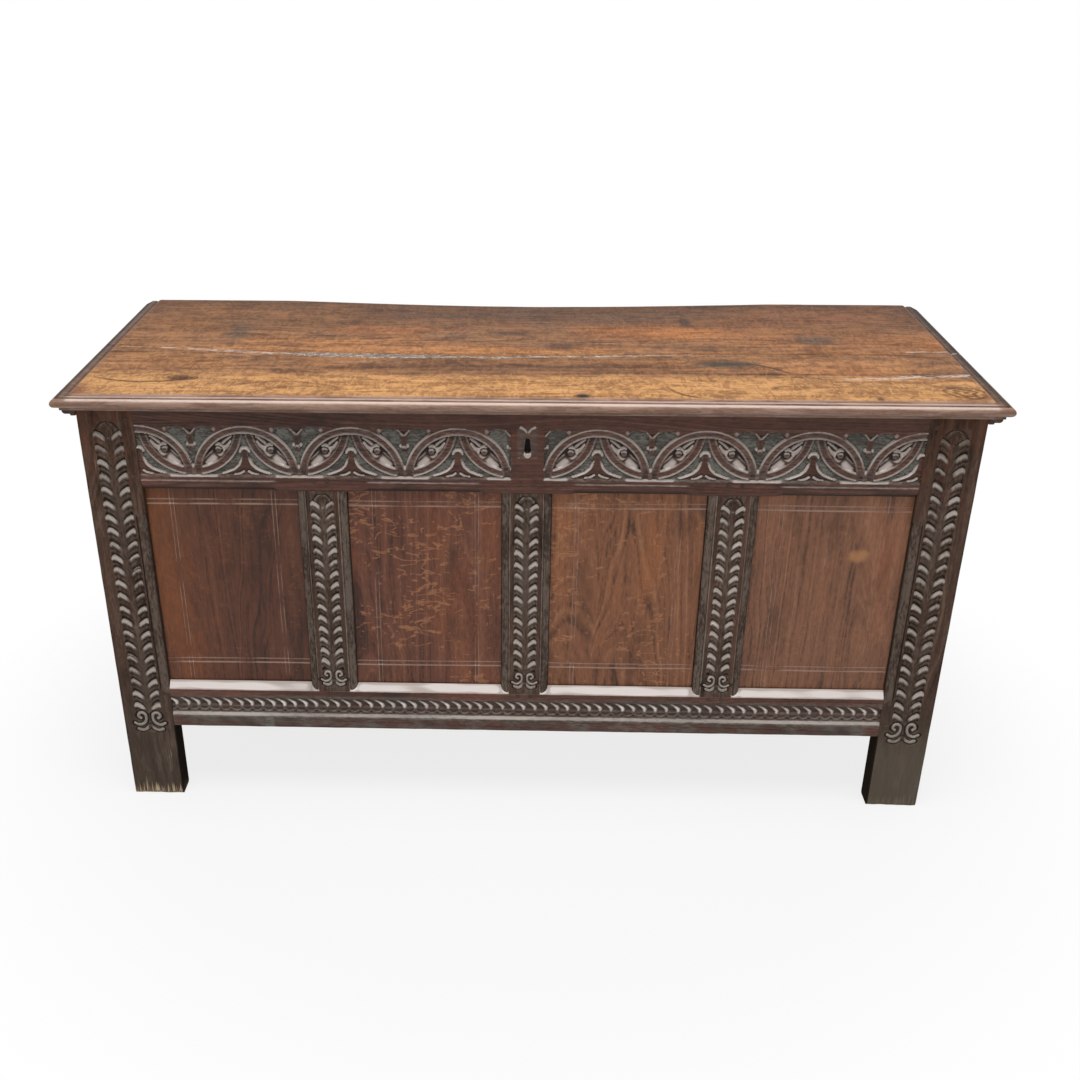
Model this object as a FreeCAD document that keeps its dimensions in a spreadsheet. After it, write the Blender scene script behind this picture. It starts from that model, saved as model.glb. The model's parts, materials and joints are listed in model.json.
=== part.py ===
"""Joined oak coffer: four panelled frames on corner stiles, a boarded floor, a two-board lid on
wire hinges, and an iron box lock with its catch.

Axes: X along the chest, Y from front to back, Z up. The origin lies on the floor, midway between the
ends of the lid and midway between its front and rear edges. Millimetres.

Each of the four frames is drawn in its own frame coordinates: u along the frame from its middle,
v from its outer face into the chest, and the height above the floor.
"""
import FreeCAD, Part
import collections
import math
import os
import re
import Sketcher

Vector = FreeCAD.Vector
doc = FreeCAD.newDocument("coffer_chest")
sheet = doc.addObject("Spreadsheet::Sheet", "Sizes")

SIZES = (
    # the whole chest
    ("body_width", 1320.0),
    ("body_depth", 470.0),
    ("body_height", 698.0),
    ("lid_thickness", 22.0),
    ("lid_end_overhang", 25.3),
    ("lid_front_overhang", 29.4),
    ("lid_rear_overhang", 22.6),
    # framing timber
    ("stile_width", 82.5),
    ("stile_depth", 36.0),
    ("foot_chamfer", 3.0),
    ("rail_thickness", 28.0),
    ("top_rail_height", 132.0),
    ("bottom_rail_height", 83.0),
    ("floor_clearance", 140.0),
    ("muntin_width", 76.0),
    ("muntin_thickness", 26.0),
    ("rear_muntin_width", 72.0),
    ("side_muntin_width", 64.0),
    # grooves and panels
    ("groove_setback", 12.0),
    ("groove_width", 8.0),
    ("groove_depth", 8.0),
    ("panel_play", 0.3),
    ("panel_edge_play", 0.8),
    ("panel_thickness", 11.0),
    ("panel_edge_thickness", 6.4),
    ("panel_bevel", 34.0),
    # mortises, tenons and pegs
    ("joint_gap", 0.1),
    ("tenon_shoulder", 10.0),
    ("tenon_length", 50.0),
    ("side_tenon_length", 24.0),
    ("tenon_end_gap", 0.9),
    ("muntin_tenon_shoulder", 11.0),
    ("muntin_tenon_length", 34.0),
    ("peg_diameter", 7.5),
    ("peg_length", 34.0),
    ("peg_proud", 0.5),
    ("peg_inset", 10.5),
    ("peg_edge", 21.0),
    ("muntin_peg_length", 24.0),
    ("muntin_peg_inset", 16.0),
    ("muntin_peg_spread", 20.0),
    # mouldings of the front frame
    ("chamfer_rise", 12.0),
    ("chamfer_set", 10.0),
    ("muntin_moulding", 13.0),
    ("muntin_moulding_depth", 10.0),
    ("muntin_quirk", 1.5),
    ("muntin_ovolo_radius", 14.0),
    ("stile_moulding", 16.0),
    ("stile_moulding_depth", 9.0),
    ("stile_moulding_foot_gap", 8.0),
    ("stile_moulding_head_gap", 51.0),
    ("stile_moulding_stop", 14.0),
    # floor boards
    ("floor_level", 150.0),
    ("floor_thickness", 14.0),
    ("floor_groove_depth", 9.0),
    ("floor_play", 0.2),
    ("floor_lap", 9.0),
    ("floor_rear_inset", 2.0),
    ("floor_corner_play", 1.0),
    ("floor_nail_length", 42.0),
    ("floor_nail_size", 4.0),
    ("floor_nail_head", 11.0),
    ("floor_nail_rise", 2.5),
    ("floor_nail_inset", 70.0),
    ("floor_nail_corner", 20.0),
    # lid
    ("lid_front_board_width", 229.0),
    ("lid_tongue", 8.0),
    ("lid_tongue_thickness", 7.0),
    ("lid_tongue_play", 0.2),
    ("lid_nose_radius", 7.0),
    ("lid_nose_drop", 3.0),
    ("lid_nose_undercut", 2.5),
    ("lid_quirk", 1.6),
    ("lid_quirk_depth", 1.8),
    ("lid_fillet", 9.0),
    ("lid_fillet_drop", 1.8),
    ("lid_fillet_rise", 0.6),
    ("lid_hollow", 4.0),
    ("lid_hollow_depth", 1.2),
    ("lid_border", 25.0),
    ("cleat_width", 20.0),
    ("cleat_depth", 16.0),
    ("cleat_gap", 1.0),
    ("cleat_step", 8.0),
    ("cleat_step_depth", 2.5),
    ("cleat_ogee", 5.0),
    ("cleat_length", 458.0),
    ("cleat_front_set", 2.0),
    ("cleat_nail_length", 28.0),
    ("cleat_nail_size", 3.2),
    ("cleat_nail_head", 7.0),
    ("cleat_nail_rise", 1.6),
    ("cleat_nail_end", 40.0),
    ("cleat_nail_spread", 120.0),
    # wire hinges
    ("hinge_wire", 3.6),
    ("hinge_inset", 195.0),
    ("hinge_drop", 10.0),
    ("hinge_offset", 7.0),
    ("rail_eye_radius", 5.0),
    ("lid_eye_span", 12.0),
    ("clench_length", 30.0),
    ("rail_clench_length", 20.0),
    ("rail_leg_spread", 3.0),
    ("wire_play", 0.1),
    # lock and catch
    ("keyhole_drop", 64.0),
    ("keyhole_width", 9.0),
    ("keyhole_top_width", 5.0),
    ("keyhole_slot", 19.0),
    ("lock_plate_width", 124.0),
    ("lock_plate_height", 84.0),
    ("lock_plate_thickness", 2.5),
    ("lock_plate_drop", 6.0),
    ("lock_case_width", 96.0),
    ("lock_case_height", 72.0),
    ("lock_case_depth", 20.0),
    ("lock_case_wall", 1.6),
    ("staple_slot_width", 10.0),
    ("bolt_height", 9.0),
    ("bolt_thickness", 5.0),
    ("bolt_length", 40.0),
    ("bolt_drop", 30.0),
    ("bolt_stand_off", 6.5),
    ("bolt_rest_gap", 4.0),
    ("bolt_travel", 19.0),
    ("bolt_play", 0.3),
    ("talon_width", 6.0),
    ("talon_depth", 4.0),
    ("keeper_width", 7.0),
    ("keeper_wall", 2.6),
    ("keeper_clearance", 10.0),
    ("tail_keeper_clearance", 27.0),
    ("spring_thickness", 1.0),
    ("spring_root", 1.5),
    ("spring_width", 4.0),
    ("spring_tip", 3.0),
    ("spring_span", 24.0),
    ("staple_width", 4.0),
    ("staple_bar", 2.5),
    ("staple_eye_width", 7.0),
    ("staple_eye_play", 2.0),
    ("catch_plate_length", 70.0),
    ("catch_plate_width", 26.0),
    ("catch_plate_thickness", 2.5),
    ("iron_nail_size", 2.6),
    ("iron_nail_length", 14.0),
    ("iron_nail_head", 6.5),
    ("iron_nail_rise", 1.4),
    ("iron_nail_edge", 7.0),
)
for row, (alias, size) in enumerate(SIZES, start=1):
    sheet.set(f"A{row}", alias)
    sheet.set(f"B{row}", str(size))
    sheet.setAlias(f"B{row}", alias)
doc.recompute()

ALIASES = {alias for alias, size in SIZES}
FRONT_PANELS = 4
REAR_PANELS = 3
SIDE_PANELS = 2
FLOOR_BOARDS = 5
PEG_SIDES = 6
WIRE_SIDES = 6

# Places worked out from the driving sizes, as expressions.
LID_DEPTH = "(lid_front_overhang + body_depth + lid_rear_overhang)"
LID_LENGTH = "(body_width + 2 * lid_end_overhang)"
FRONT_FACE = "((lid_front_overhang - lid_rear_overhang - body_depth) / 2)"
REAR_FACE = "((lid_front_overhang - lid_rear_overhang + body_depth) / 2)"
MIDDLE = "((lid_front_overhang - lid_rear_overhang) / 2)"
TOP_RAIL_FOOT = "(body_height - top_rail_height)"
BOTTOM_RAIL_TOP = "(floor_clearance + bottom_rail_height)"
REAR_RAIL_FOOT = "(floor_level + floor_thickness + floor_play)"
REAR_RAIL_TOP = f"({REAR_RAIL_FOOT} + bottom_rail_height)"
GROOVE_BACK = "(groove_setback + groove_width)"
MOULDING_FOOT = f"({BOTTOM_RAIL_TOP} - stile_moulding_foot_gap)"
MOULDING_HEAD = f"({TOP_RAIL_FOOT} - stile_moulding_head_gap)"
HINGE_LEVEL = "(body_height - hinge_drop)"
PLATE_FACE = "(rail_thickness + lock_plate_thickness)"
BOLT_FRONT = f"({PLATE_FACE} + bolt_stand_off)"
STAPLE_V = f"({BOLT_FRONT} + bolt_thickness / 2)"


def bound(text):
    """The expression with each size named through the sheet."""
    return re.sub(r"[a-z_][a-z_0-9]*",
                  lambda word: "Sizes." + word.group(0) if word.group(0) in ALIASES else word.group(0),
                  str(text))


def bind(item, path, text):
    item.setExpression(path, bound(text))


def number(text):
    """The present value of an expression."""
    return float(sheet.evalExpression(bound(text)))


# Drawing helpers ---------------------------------------------------------------------------------

PLANES = {"x": ("YZ_Plane", 1), "y": ("XZ_Plane", -1), "z": ("XY_Plane", 1)}


def start_sketch(body, name, axis, at):
    """A sketch square to one axis of its body, at that distance along it."""
    role, sense = PLANES[axis]
    drawing = body.newObject("Sketcher::SketchObject", name)
    plane = next(item for item in body.Origin.OriginFeatures if item.Role == role)
    drawing.AttachmentSupport = [(plane, "")]
    drawing.MapMode = "FlatFace"
    bind(drawing, "AttachmentOffset.Base.z", f"{sense} * ({at})")
    return drawing


def pin(drawing, kind, geometry, point, text):
    """Hold one coordinate of a point at an expression."""
    size = number(text)
    index = drawing.addConstraint(Sketcher.Constraint(kind, -1, 1, geometry, point, size))
    bind(drawing, f"Constraints[{index}]", text)


def arc_through(start, finish, radius):
    """The shorter arc between two points; a positive radius swells to the right of the way."""
    chord = finish - start
    half = chord.Length / 2
    rise = math.sqrt(max(radius * radius - half * half, 0.0))
    side = 1 if radius > 0 else -1
    across = Vector(chord.y, -chord.x, 0).normalize() * side
    centre = start + chord / 2 - across * rise
    crown = centre + across * abs(radius)
    return Part.Arc(start, crown, finish)


Disc = collections.namedtuple("Disc", "across up diameter")


def draw_disc(drawing, disc):
    radius = f"({disc.diameter}) / 2"
    centre = Vector(number(disc.across), number(disc.up), 0)
    rim = drawing.addGeometry(Part.Circle(centre, Vector(0, 0, 1), number(radius)), False)
    pin(drawing, "DistanceX", rim, 3, disc.across)
    pin(drawing, "DistanceY", rim, 3, disc.up)
    held = drawing.addConstraint(Sketcher.Constraint("Radius", rim, number(radius)))
    bind(drawing, f"Constraints[{held}]", radius)


def draw_outline(drawing, corners):
    """A closed outline. A corner is (a, b), or (a, b, radius) where an arc leads to it."""
    if isinstance(corners, Disc):
        draw_disc(drawing, corners)
        return
    points = [Vector(number(corner[0]), number(corner[1]), 0) for corner in corners]
    first = drawing.GeometryCount
    count = len(corners)
    for index in range(count):
        start, finish = points[index], points[(index + 1) % count]
        following = corners[(index + 1) % count]
        if len(following) == 3:
            edge = arc_through(start, finish, number(following[2]))
        else:
            edge = Part.LineSegment(start, finish)
        drawing.addGeometry(edge, False)
    ends = []
    for index in range(count):
        following = corners[(index + 1) % count]
        turned = len(following) == 3 and number(following[2]) < 0
        ends.append((2, 1) if turned else (1, 2))
    for index in range(count):
        after = (index + 1) % count
        drawing.addConstraint(Sketcher.Constraint(
            "Coincident", first + index, ends[index][1], first + after, ends[after][0]))
        pin(drawing, "DistanceX", first + index, ends[index][0], corners[index][0])
        pin(drawing, "DistanceY", first + index, ends[index][0], corners[index][1])
        following = corners[after]
        if len(following) == 3:
            radius = f"abs({following[2]})"
            held = drawing.addConstraint(
                Sketcher.Constraint("Radius", first + index, number(radius)))
            bind(drawing, f"Constraints[{held}]", radius)


def extrude(kind, body, name, axis, start, finish, outlines):
    """A Pad or Pocket of closed outlines from start to finish along one axis of the body."""
    drawing = start_sketch(body, name + "_sketch", axis, f"(({start}) + ({finish})) / 2")
    for corners in outlines:
        draw_outline(drawing, corners)
    feature = body.newObject("PartDesign::" + kind, name)
    feature.Profile = drawing
    feature.SideType = "Symmetric"
    bind(feature, "Length", f"abs(({finish}) - ({start}))")
    drawing.Visibility = False
    return feature


def pad(body, name, axis, start, finish, *outlines):
    return extrude("Pad", body, name, axis, start, finish, outlines)


def pocket(body, name, axis, start, finish, *outlines):
    return extrude("Pocket", body, name, axis, start, finish, outlines)


def rectangle(left, bottom, right, top):
    return [(left, bottom), (right, bottom), (right, top), (left, top)]


def square_hole(across, up, size):
    half = f"({size}) / 2"
    return rectangle(f"{across} - {half}", f"{up} - {half}", f"{across} + {half}", f"{up} + {half}")


def many_sided(across, up, diameter, sides):
    """A regular outline with its corners on a circle."""
    turns = [2 * math.pi * side / sides for side in range(sides)]
    return [(f"{across} + {math.cos(turn):.6f} * {diameter} / 2",
             f"{up} + {math.sin(turn):.6f} * {diameter} / 2") for turn in turns]


def peg_hole(across, up):
    """The many-sided hole that a shaved peg presses for itself."""
    return many_sided(across, up, "peg_diameter", PEG_SIDES)


def make_body(label):
    body = doc.addObject("PartDesign::Body", label)
    body.Label = label
    nodes.append(body)
    return body


def finish(label, item):
    """Name a finished Part object and count it among the pieces of the chest."""
    item.Label = label
    nodes.append(item)
    return item


nodes = []


class Frame:
    """One panelled side of the chest: where it stands and how its stiles bound it."""

    def __init__(self, name, angle, base_x, base_y, width, stile):
        self.name = name
        self.angle = angle
        self.base = (base_x, base_y)
        self.shoulder = f"({width} / 2 - {stile})"

    def place(self, item):
        item.Placement = FreeCAD.Placement(Vector(), FreeCAD.Rotation(Vector(0, 0, 1), self.angle))
        bind(item, "Placement.Base.x", self.base[0])
        bind(item, "Placement.Base.y", self.base[1])


FRONT = Frame("front", 0, "0", FRONT_FACE, "body_width", "stile_width")
REAR = Frame("rear", 180, "0", REAR_FACE, "body_width", "stile_width")
LEFT = Frame("left", -90, "-body_width / 2", MIDDLE, "body_depth", "stile_depth")
RIGHT = Frame("right", 90, "body_width / 2", MIDDLE, "body_depth", "stile_depth")


# Stiles ------------------------------------------------------------------------------------------

def make_stile(label, frame, hand):
    """A corner stile; hand is -1 at the left end of its frame and +1 at the right end."""
    def across(inward):
        return f"{hand} * (body_width / 2 - ({inward}))"

    rail_foot, rail_top = (
        ("floor_clearance", BOTTOM_RAIL_TOP) if frame is FRONT else (REAR_RAIL_FOOT, REAR_RAIL_TOP))
    body = make_body(label)
    pad(body, "timber", "z", "0", "body_height",
        rectangle(across("0"), "0", across("stile_width"), "stile_depth"))

    mortise = rectangle(across("stile_width - tenon_length - tenon_end_gap"), "groove_setback",
                        across("stile_width"), GROOVE_BACK)
    groove = rectangle(across("stile_width - groove_depth"), "groove_setback",
                       across("stile_width"), GROOVE_BACK)
    pocket(body, "top_mortise", "z", f"{TOP_RAIL_FOOT} + tenon_shoulder",
           "body_height - tenon_shoulder", mortise)
    pocket(body, "bottom_mortise", "z", f"{rail_foot} + tenon_shoulder",
           f"{rail_top} - tenon_shoulder", mortise)
    pocket(body, "panel_groove", "z", f"{rail_top} - groove_depth",
           f"{TOP_RAIL_FOOT} + groove_depth", groove)

    side_mortise = rectangle(across("groove_setback"),
                             "stile_depth - side_tenon_length - tenon_end_gap",
                             across(GROOVE_BACK), "stile_depth")
    side_groove = rectangle(across("groove_setback"), "stile_depth - groove_depth",
                            across(GROOVE_BACK), "stile_depth")
    pocket(body, "side_top_mortise", "z", f"{TOP_RAIL_FOOT} + tenon_shoulder",
           "body_height - tenon_shoulder", side_mortise)
    pocket(body, "side_bottom_mortise", "z", "floor_clearance + tenon_shoulder",
           f"{BOTTOM_RAIL_TOP} - tenon_shoulder", side_mortise)
    pocket(body, "side_panel_groove", "z", f"{BOTTOM_RAIL_TOP} - groove_depth",
           f"{TOP_RAIL_FOOT} + groove_depth", side_groove)

    pocket(body, "peg_holes", "y", "0", "peg_length",
           *[peg_hole(across("stile_width - peg_inset"), level)
             for level in peg_levels(rail_foot, rail_top)])
    pocket(body, "side_peg_holes", "x", across("0"), across("peg_length"),
           *[peg_hole("stile_depth - peg_inset", level)
             for level in peg_levels("floor_clearance", BOTTOM_RAIL_TOP)])
    if frame is FRONT:
        cut_stile_moulding(body, across)
    chamfer_foot(body, across)
    frame.place(body)


def peg_levels(foot, top):
    """Heights of the four pegs of a stile: two in the top rail, two in the bottom rail."""
    return [f"body_height - peg_edge", f"{TOP_RAIL_FOOT} + peg_edge",
            f"{top} - peg_edge", f"{foot} + peg_edge"]


def cut_stile_moulding(body, across):
    """The inner front arris worked to a slope that stops short of both rails."""
    slope = [(across("stile_width - stile_moulding"), "0"), (across("stile_width"), "0"),
             (across("stile_width"), "stile_moulding_depth")]
    pocket(body, "edge_moulding", "z", MOULDING_FOOT, MOULDING_HEAD, slope)
    for name, level, step in (("head_stop", MOULDING_HEAD, 1), ("foot_stop", MOULDING_FOOT, -1)):
        run_out = [("0", level), ("stile_moulding_depth", level),
                   ("0", f"{level} + {step} * stile_moulding_stop")]
        pocket(body, name, "x", across("stile_width - stile_moulding / 2"), across("stile_width"),
               run_out)


def chamfer_foot(body, across):
    """The worn lower arris of the foot, front and back."""
    toe = [("0", "0"), ("foot_chamfer", "0"), ("0", "foot_chamfer")]
    heel = [("stile_depth", "0"), ("stile_depth - foot_chamfer", "0"),
            ("stile_depth", "foot_chamfer")]
    pocket(body, "foot_arris", "x", across("0"), across("stile_width"), toe, heel)


make_stile("front_left_stile", FRONT, -1)
make_stile("front_right_stile", FRONT, 1)
make_stile("rear_left_stile", REAR, 1)
make_stile("rear_right_stile", REAR, -1)


# Rails -------------------------------------------------------------------------------------------

def muntin_centres(frame, panels, width):
    """Where the muntins stand along a frame, for panels of equal width."""
    pitch = f"((2 * {frame.shoulder} + {width}) / {panels})"
    return [f"({index - panels / 2} * {pitch})" for index in range(1, panels)]


def make_rail(label, frame, foot, top, panel_side, tenon, muntins, chamfered=False):
    """A rail with a tenon at each end, the panel groove, and a mortise for each muntin.

    panel_side is -1 where the panels stand below the rail and +1 where they stand above it.
    """
    edge = top if panel_side > 0 else foot
    shoulder = frame.shoulder
    section = [("0", foot), ("rail_thickness", foot), ("rail_thickness", top)]
    if chamfered:
        section += [("chamfer_set", top), ("0", f"{top} - chamfer_rise")]
    else:
        section += [("0", top)]
    body = make_body(label)
    pad(body, "timber", "x", f"-{shoulder}", shoulder, section)
    pad(body, "tenons", "x", f"-({shoulder} + {tenon})", f"{shoulder} + {tenon}",
        rectangle("groove_setback + joint_gap", f"{foot} + tenon_shoulder + joint_gap",
                  f"{GROOVE_BACK} - joint_gap", f"{top} - tenon_shoulder - joint_gap"))
    pocket(body, "panel_groove", "x", f"-{shoulder}", shoulder,
           rectangle("groove_setback", f"{edge} - {panel_side} * groove_depth", GROOVE_BACK, edge))

    holes = []
    for side in (-1, 1):
        for level in (f"{top} - peg_edge", f"{foot} + peg_edge"):
            holes.append(peg_hole(f"{side} * ({shoulder} + peg_inset)", level))
    pocket(body, "tenon_peg_holes", "y", "groove_setback", GROOVE_BACK, *holes)

    centres, width = muntins
    if centres:
        depth = f"{edge} - {panel_side} * (muntin_tenon_length + tenon_end_gap)"
        half = f"({width} / 2 - muntin_tenon_shoulder)"
        pocket(body, "muntin_mortises", "y", "groove_setback", GROOVE_BACK,
               *[rectangle(f"{centre} - {half}", depth, f"{centre} + {half}", edge)
                 for centre in centres])
        level = f"{edge} - {panel_side} * muntin_peg_inset"
        pocket(body, "muntin_peg_holes", "y", "0", "muntin_peg_length",
               *[peg_hole(f"{centre} + {side} * muntin_peg_spread / 2", level)
                 for centre in centres for side in (-1, 1)])
    frame.place(body)
    return body


def cut_floor_groove(body, frame):
    """The groove that takes the edges of the floor boards."""
    pocket(body, "floor_groove", "x", f"-{frame.shoulder}", frame.shoulder,
           rectangle("rail_thickness - floor_groove_depth", "floor_level",
                     "rail_thickness", "floor_level + floor_thickness + 2 * floor_play"))


FRONT_MUNTINS = (muntin_centres(FRONT, FRONT_PANELS, "muntin_width"), "muntin_width")
REAR_MUNTINS = (muntin_centres(REAR, REAR_PANELS, "rear_muntin_width"), "rear_muntin_width")
SIDE_MUNTINS = (muntin_centres(LEFT, SIDE_PANELS, "side_muntin_width"), "side_muntin_width")

front_top_rail = make_rail("front_top_rail", FRONT, TOP_RAIL_FOOT, "body_height", -1,
                           "tenon_length", FRONT_MUNTINS)
front_bottom_rail = make_rail("front_bottom_rail", FRONT, "floor_clearance", BOTTOM_RAIL_TOP, 1,
                              "tenon_length", FRONT_MUNTINS, chamfered=True)
rear_top_rail = make_rail("rear_top_rail", REAR, TOP_RAIL_FOOT, "body_height", -1,
                          "tenon_length", REAR_MUNTINS)
rear_bottom_rail = make_rail("rear_bottom_rail", REAR, REAR_RAIL_FOOT, REAR_RAIL_TOP, 1,
                             "tenon_length", REAR_MUNTINS)
cut_floor_groove(front_bottom_rail, FRONT)
for side_frame in (LEFT, RIGHT):
    make_rail(side_frame.name + "_top_rail", side_frame, TOP_RAIL_FOOT, "body_height", -1,
              "side_tenon_length", SIDE_MUNTINS)
    side_rail = make_rail(side_frame.name + "_bottom_rail", side_frame, "floor_clearance",
                          BOTTOM_RAIL_TOP, 1, "side_tenon_length", SIDE_MUNTINS)
    cut_floor_groove(side_rail, side_frame)


# Muntins -----------------------------------------------------------------------------------------

def moulded_section(centre):
    """Section of a front muntin: flat face, quirk, ovolo and fillet down each edge."""
    def corner(hand, inward, depth):
        return (f"{centre} + {hand} * (muntin_width / 2 - ({inward}))", depth)

    ovolo_end = corner(1, "0", "muntin_moulding_depth")
    left_end = corner(-1, "muntin_moulding", "muntin_quirk")
    return [corner(-1, "muntin_moulding", "0"), corner(1, "muntin_moulding", "0"),
            corner(1, "muntin_moulding", "muntin_quirk"),
            (ovolo_end[0], ovolo_end[1], "muntin_ovolo_radius"),
            corner(1, "0", "muntin_thickness"), corner(-1, "0", "muntin_thickness"),
            corner(-1, "0", "muntin_moulding_depth"),
            (left_end[0], left_end[1], "muntin_ovolo_radius")]


def make_muntin(label, frame, centre, width, foot, moulded=False):
    """A muntin between the rails, tenoned top and bottom and grooved down both edges."""
    body = make_body(label)
    left = f"{centre} - {width} / 2"
    right = f"{centre} + {width} / 2"
    if moulded:
        pad(body, "timber", "z", f"{foot} - chamfer_rise", TOP_RAIL_FOOT, moulded_section(centre))
        pocket(body, "sloping_shoulder", "x", left, right,
               [("0", f"{foot} - chamfer_rise"), ("muntin_thickness", f"{foot} - chamfer_rise"),
                ("muntin_thickness", foot), ("chamfer_set", foot)])
    else:
        pad(body, "timber", "z", foot, TOP_RAIL_FOOT,
            rectangle(left, "0", right, "muntin_thickness"))
    half = f"({width} / 2 - muntin_tenon_shoulder - joint_gap)"
    pad(body, "tenons", "y", "groove_setback + joint_gap", f"{GROOVE_BACK} - joint_gap",
        rectangle(f"{centre} - {half}", f"{foot} - muntin_tenon_length",
                  f"{centre} + {half}", f"{TOP_RAIL_FOOT} + muntin_tenon_length"))
    pocket(body, "panel_grooves", "z", foot, TOP_RAIL_FOOT,
           rectangle(left, "groove_setback", f"{left} + groove_depth", GROOVE_BACK),
           rectangle(f"{right} - groove_depth", "groove_setback", right, GROOVE_BACK))
    holes = [peg_hole(f"{centre} + {side} * muntin_peg_spread / 2", level)
             for level in (f"{foot} - muntin_peg_inset", f"{TOP_RAIL_FOOT} + muntin_peg_inset")
             for side in (-1, 1)]
    pocket(body, "tenon_peg_holes", "y", "groove_setback", GROOVE_BACK, *holes)
    frame.place(body)


for index, centre in enumerate(FRONT_MUNTINS[0], start=1):
    make_muntin(f"front_muntin_{index}", FRONT, centre, "muntin_width", BOTTOM_RAIL_TOP, moulded=True)
for index, centre in enumerate(REAR_MUNTINS[0], start=1):
    make_muntin(f"rear_muntin_{index}", REAR, centre, "rear_muntin_width", REAR_RAIL_TOP)
for side_frame in (LEFT, RIGHT):
    make_muntin(side_frame.name + "_muntin", side_frame, SIDE_MUNTINS[0][0], "side_muntin_width",
                BOTTOM_RAIL_TOP)


# Panels ------------------------------------------------------------------------------------------

def make_panel(label, frame, left, right, foot):
    """A panel whose back is bevelled all round so that its edges enter the grooves."""
    low, high = f"({foot} - groove_depth + panel_edge_play)", \
        f"({TOP_RAIL_FOOT} + groove_depth - panel_edge_play)"
    start, end = f"({left} - groove_depth + panel_edge_play)", \
        f"({right} + groove_depth - panel_edge_play)"
    edge_back = "(groove_setback + panel_play + panel_edge_thickness)"

    face = doc.addObject("Part::Box", label + "_face")
    bind(face, "Length", f"{end} - {start}")
    bind(face, "Width", "panel_edge_thickness")
    bind(face, "Height", f"{high} - {low}")
    bind(face, "Placement.Base.x", start)
    bind(face, "Placement.Base.y", "groove_setback + panel_play")
    bind(face, "Placement.Base.z", low)

    back = doc.addObject("Part::Wedge", label + "_back")
    for name, text in (("Xmin", start), ("Xmax", end), ("Zmin", low), ("Zmax", high),
                       ("Ymin", edge_back), ("Ymax", "groove_setback + panel_play + panel_thickness"),
                       ("X2min", f"{start} + panel_bevel"), ("X2max", f"{end} - panel_bevel"),
                       ("Z2min", f"{low} + panel_bevel"), ("Z2max", f"{high} - panel_bevel")):
        bind(back, name, text)
    panel = doc.addObject("Part::Fuse", label)
    panel.Base = face
    panel.Tool = back
    panel.Refine = True
    frame.place(panel)
    finish(label, panel)


def make_panels(frame, panels, width, foot):
    centres = muntin_centres(frame, panels, width)
    lefts = [f"-{frame.shoulder}"] + [f"({centre} + {width} / 2)" for centre in centres]
    rights = [f"({centre} - {width} / 2)" for centre in centres] + [frame.shoulder]
    for index, (left, right) in enumerate(zip(lefts, rights), start=1):
        make_panel(f"{frame.name}_panel_{index}", frame, left, right, foot)


make_panels(FRONT, FRONT_PANELS, "muntin_width", BOTTOM_RAIL_TOP)
make_panels(REAR, REAR_PANELS, "rear_muntin_width", REAR_RAIL_TOP)
make_panels(LEFT, SIDE_PANELS, "side_muntin_width", BOTTOM_RAIL_TOP)
make_panels(RIGHT, SIDE_PANELS, "side_muntin_width", BOTTOM_RAIL_TOP)


# Draw-bore pegs ----------------------------------------------------------------------------------

def make_peg(name, across, level, length):
    """A shaved many-sided peg driven from the outer face of a frame."""
    peg = doc.addObject("Part::Prism", name)
    peg.Polygon = PEG_SIDES
    bind(peg, "Circumradius", "peg_diameter / 2")
    bind(peg, "Height", f"{length} + peg_proud")
    peg.Placement = FreeCAD.Placement(Vector(), FreeCAD.Rotation(Vector(1, 0, 0), -90))
    bind(peg, "Placement.Base.x", across)
    bind(peg, "Placement.Base.y", "-peg_proud")
    bind(peg, "Placement.Base.z", level)
    return peg


def make_pegs(frame, foot, top, muntins):
    """All the pegs of one frame, in one group."""
    label = frame.name + "_pegs"
    pegs = []
    for side in (-1, 1):
        for level in peg_levels(foot, top):
            pegs.append(make_peg(label + "_stile", f"{side} * ({frame.shoulder} + peg_inset)",
                                 level, "peg_length"))
    centres, width = muntins
    for centre in centres:
        for level in (f"{top} - muntin_peg_inset", f"{TOP_RAIL_FOOT} + muntin_peg_inset"):
            for side in (-1, 1):
                pegs.append(make_peg(label + "_muntin", f"{centre} + {side} * muntin_peg_spread / 2",
                                     level, "muntin_peg_length"))
    group = doc.addObject("Part::Compound", label)
    group.Links = pegs
    frame.place(group)
    finish(label, group)


make_pegs(FRONT, "floor_clearance", BOTTOM_RAIL_TOP, FRONT_MUNTINS)
make_pegs(REAR, REAR_RAIL_FOOT, REAR_RAIL_TOP, REAR_MUNTINS)
make_pegs(LEFT, "floor_clearance", BOTTOM_RAIL_TOP, SIDE_MUNTINS)
make_pegs(RIGHT, "floor_clearance", BOTTOM_RAIL_TOP, SIDE_MUNTINS)


# Nails -------------------------------------------------------------------------------------------

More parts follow.
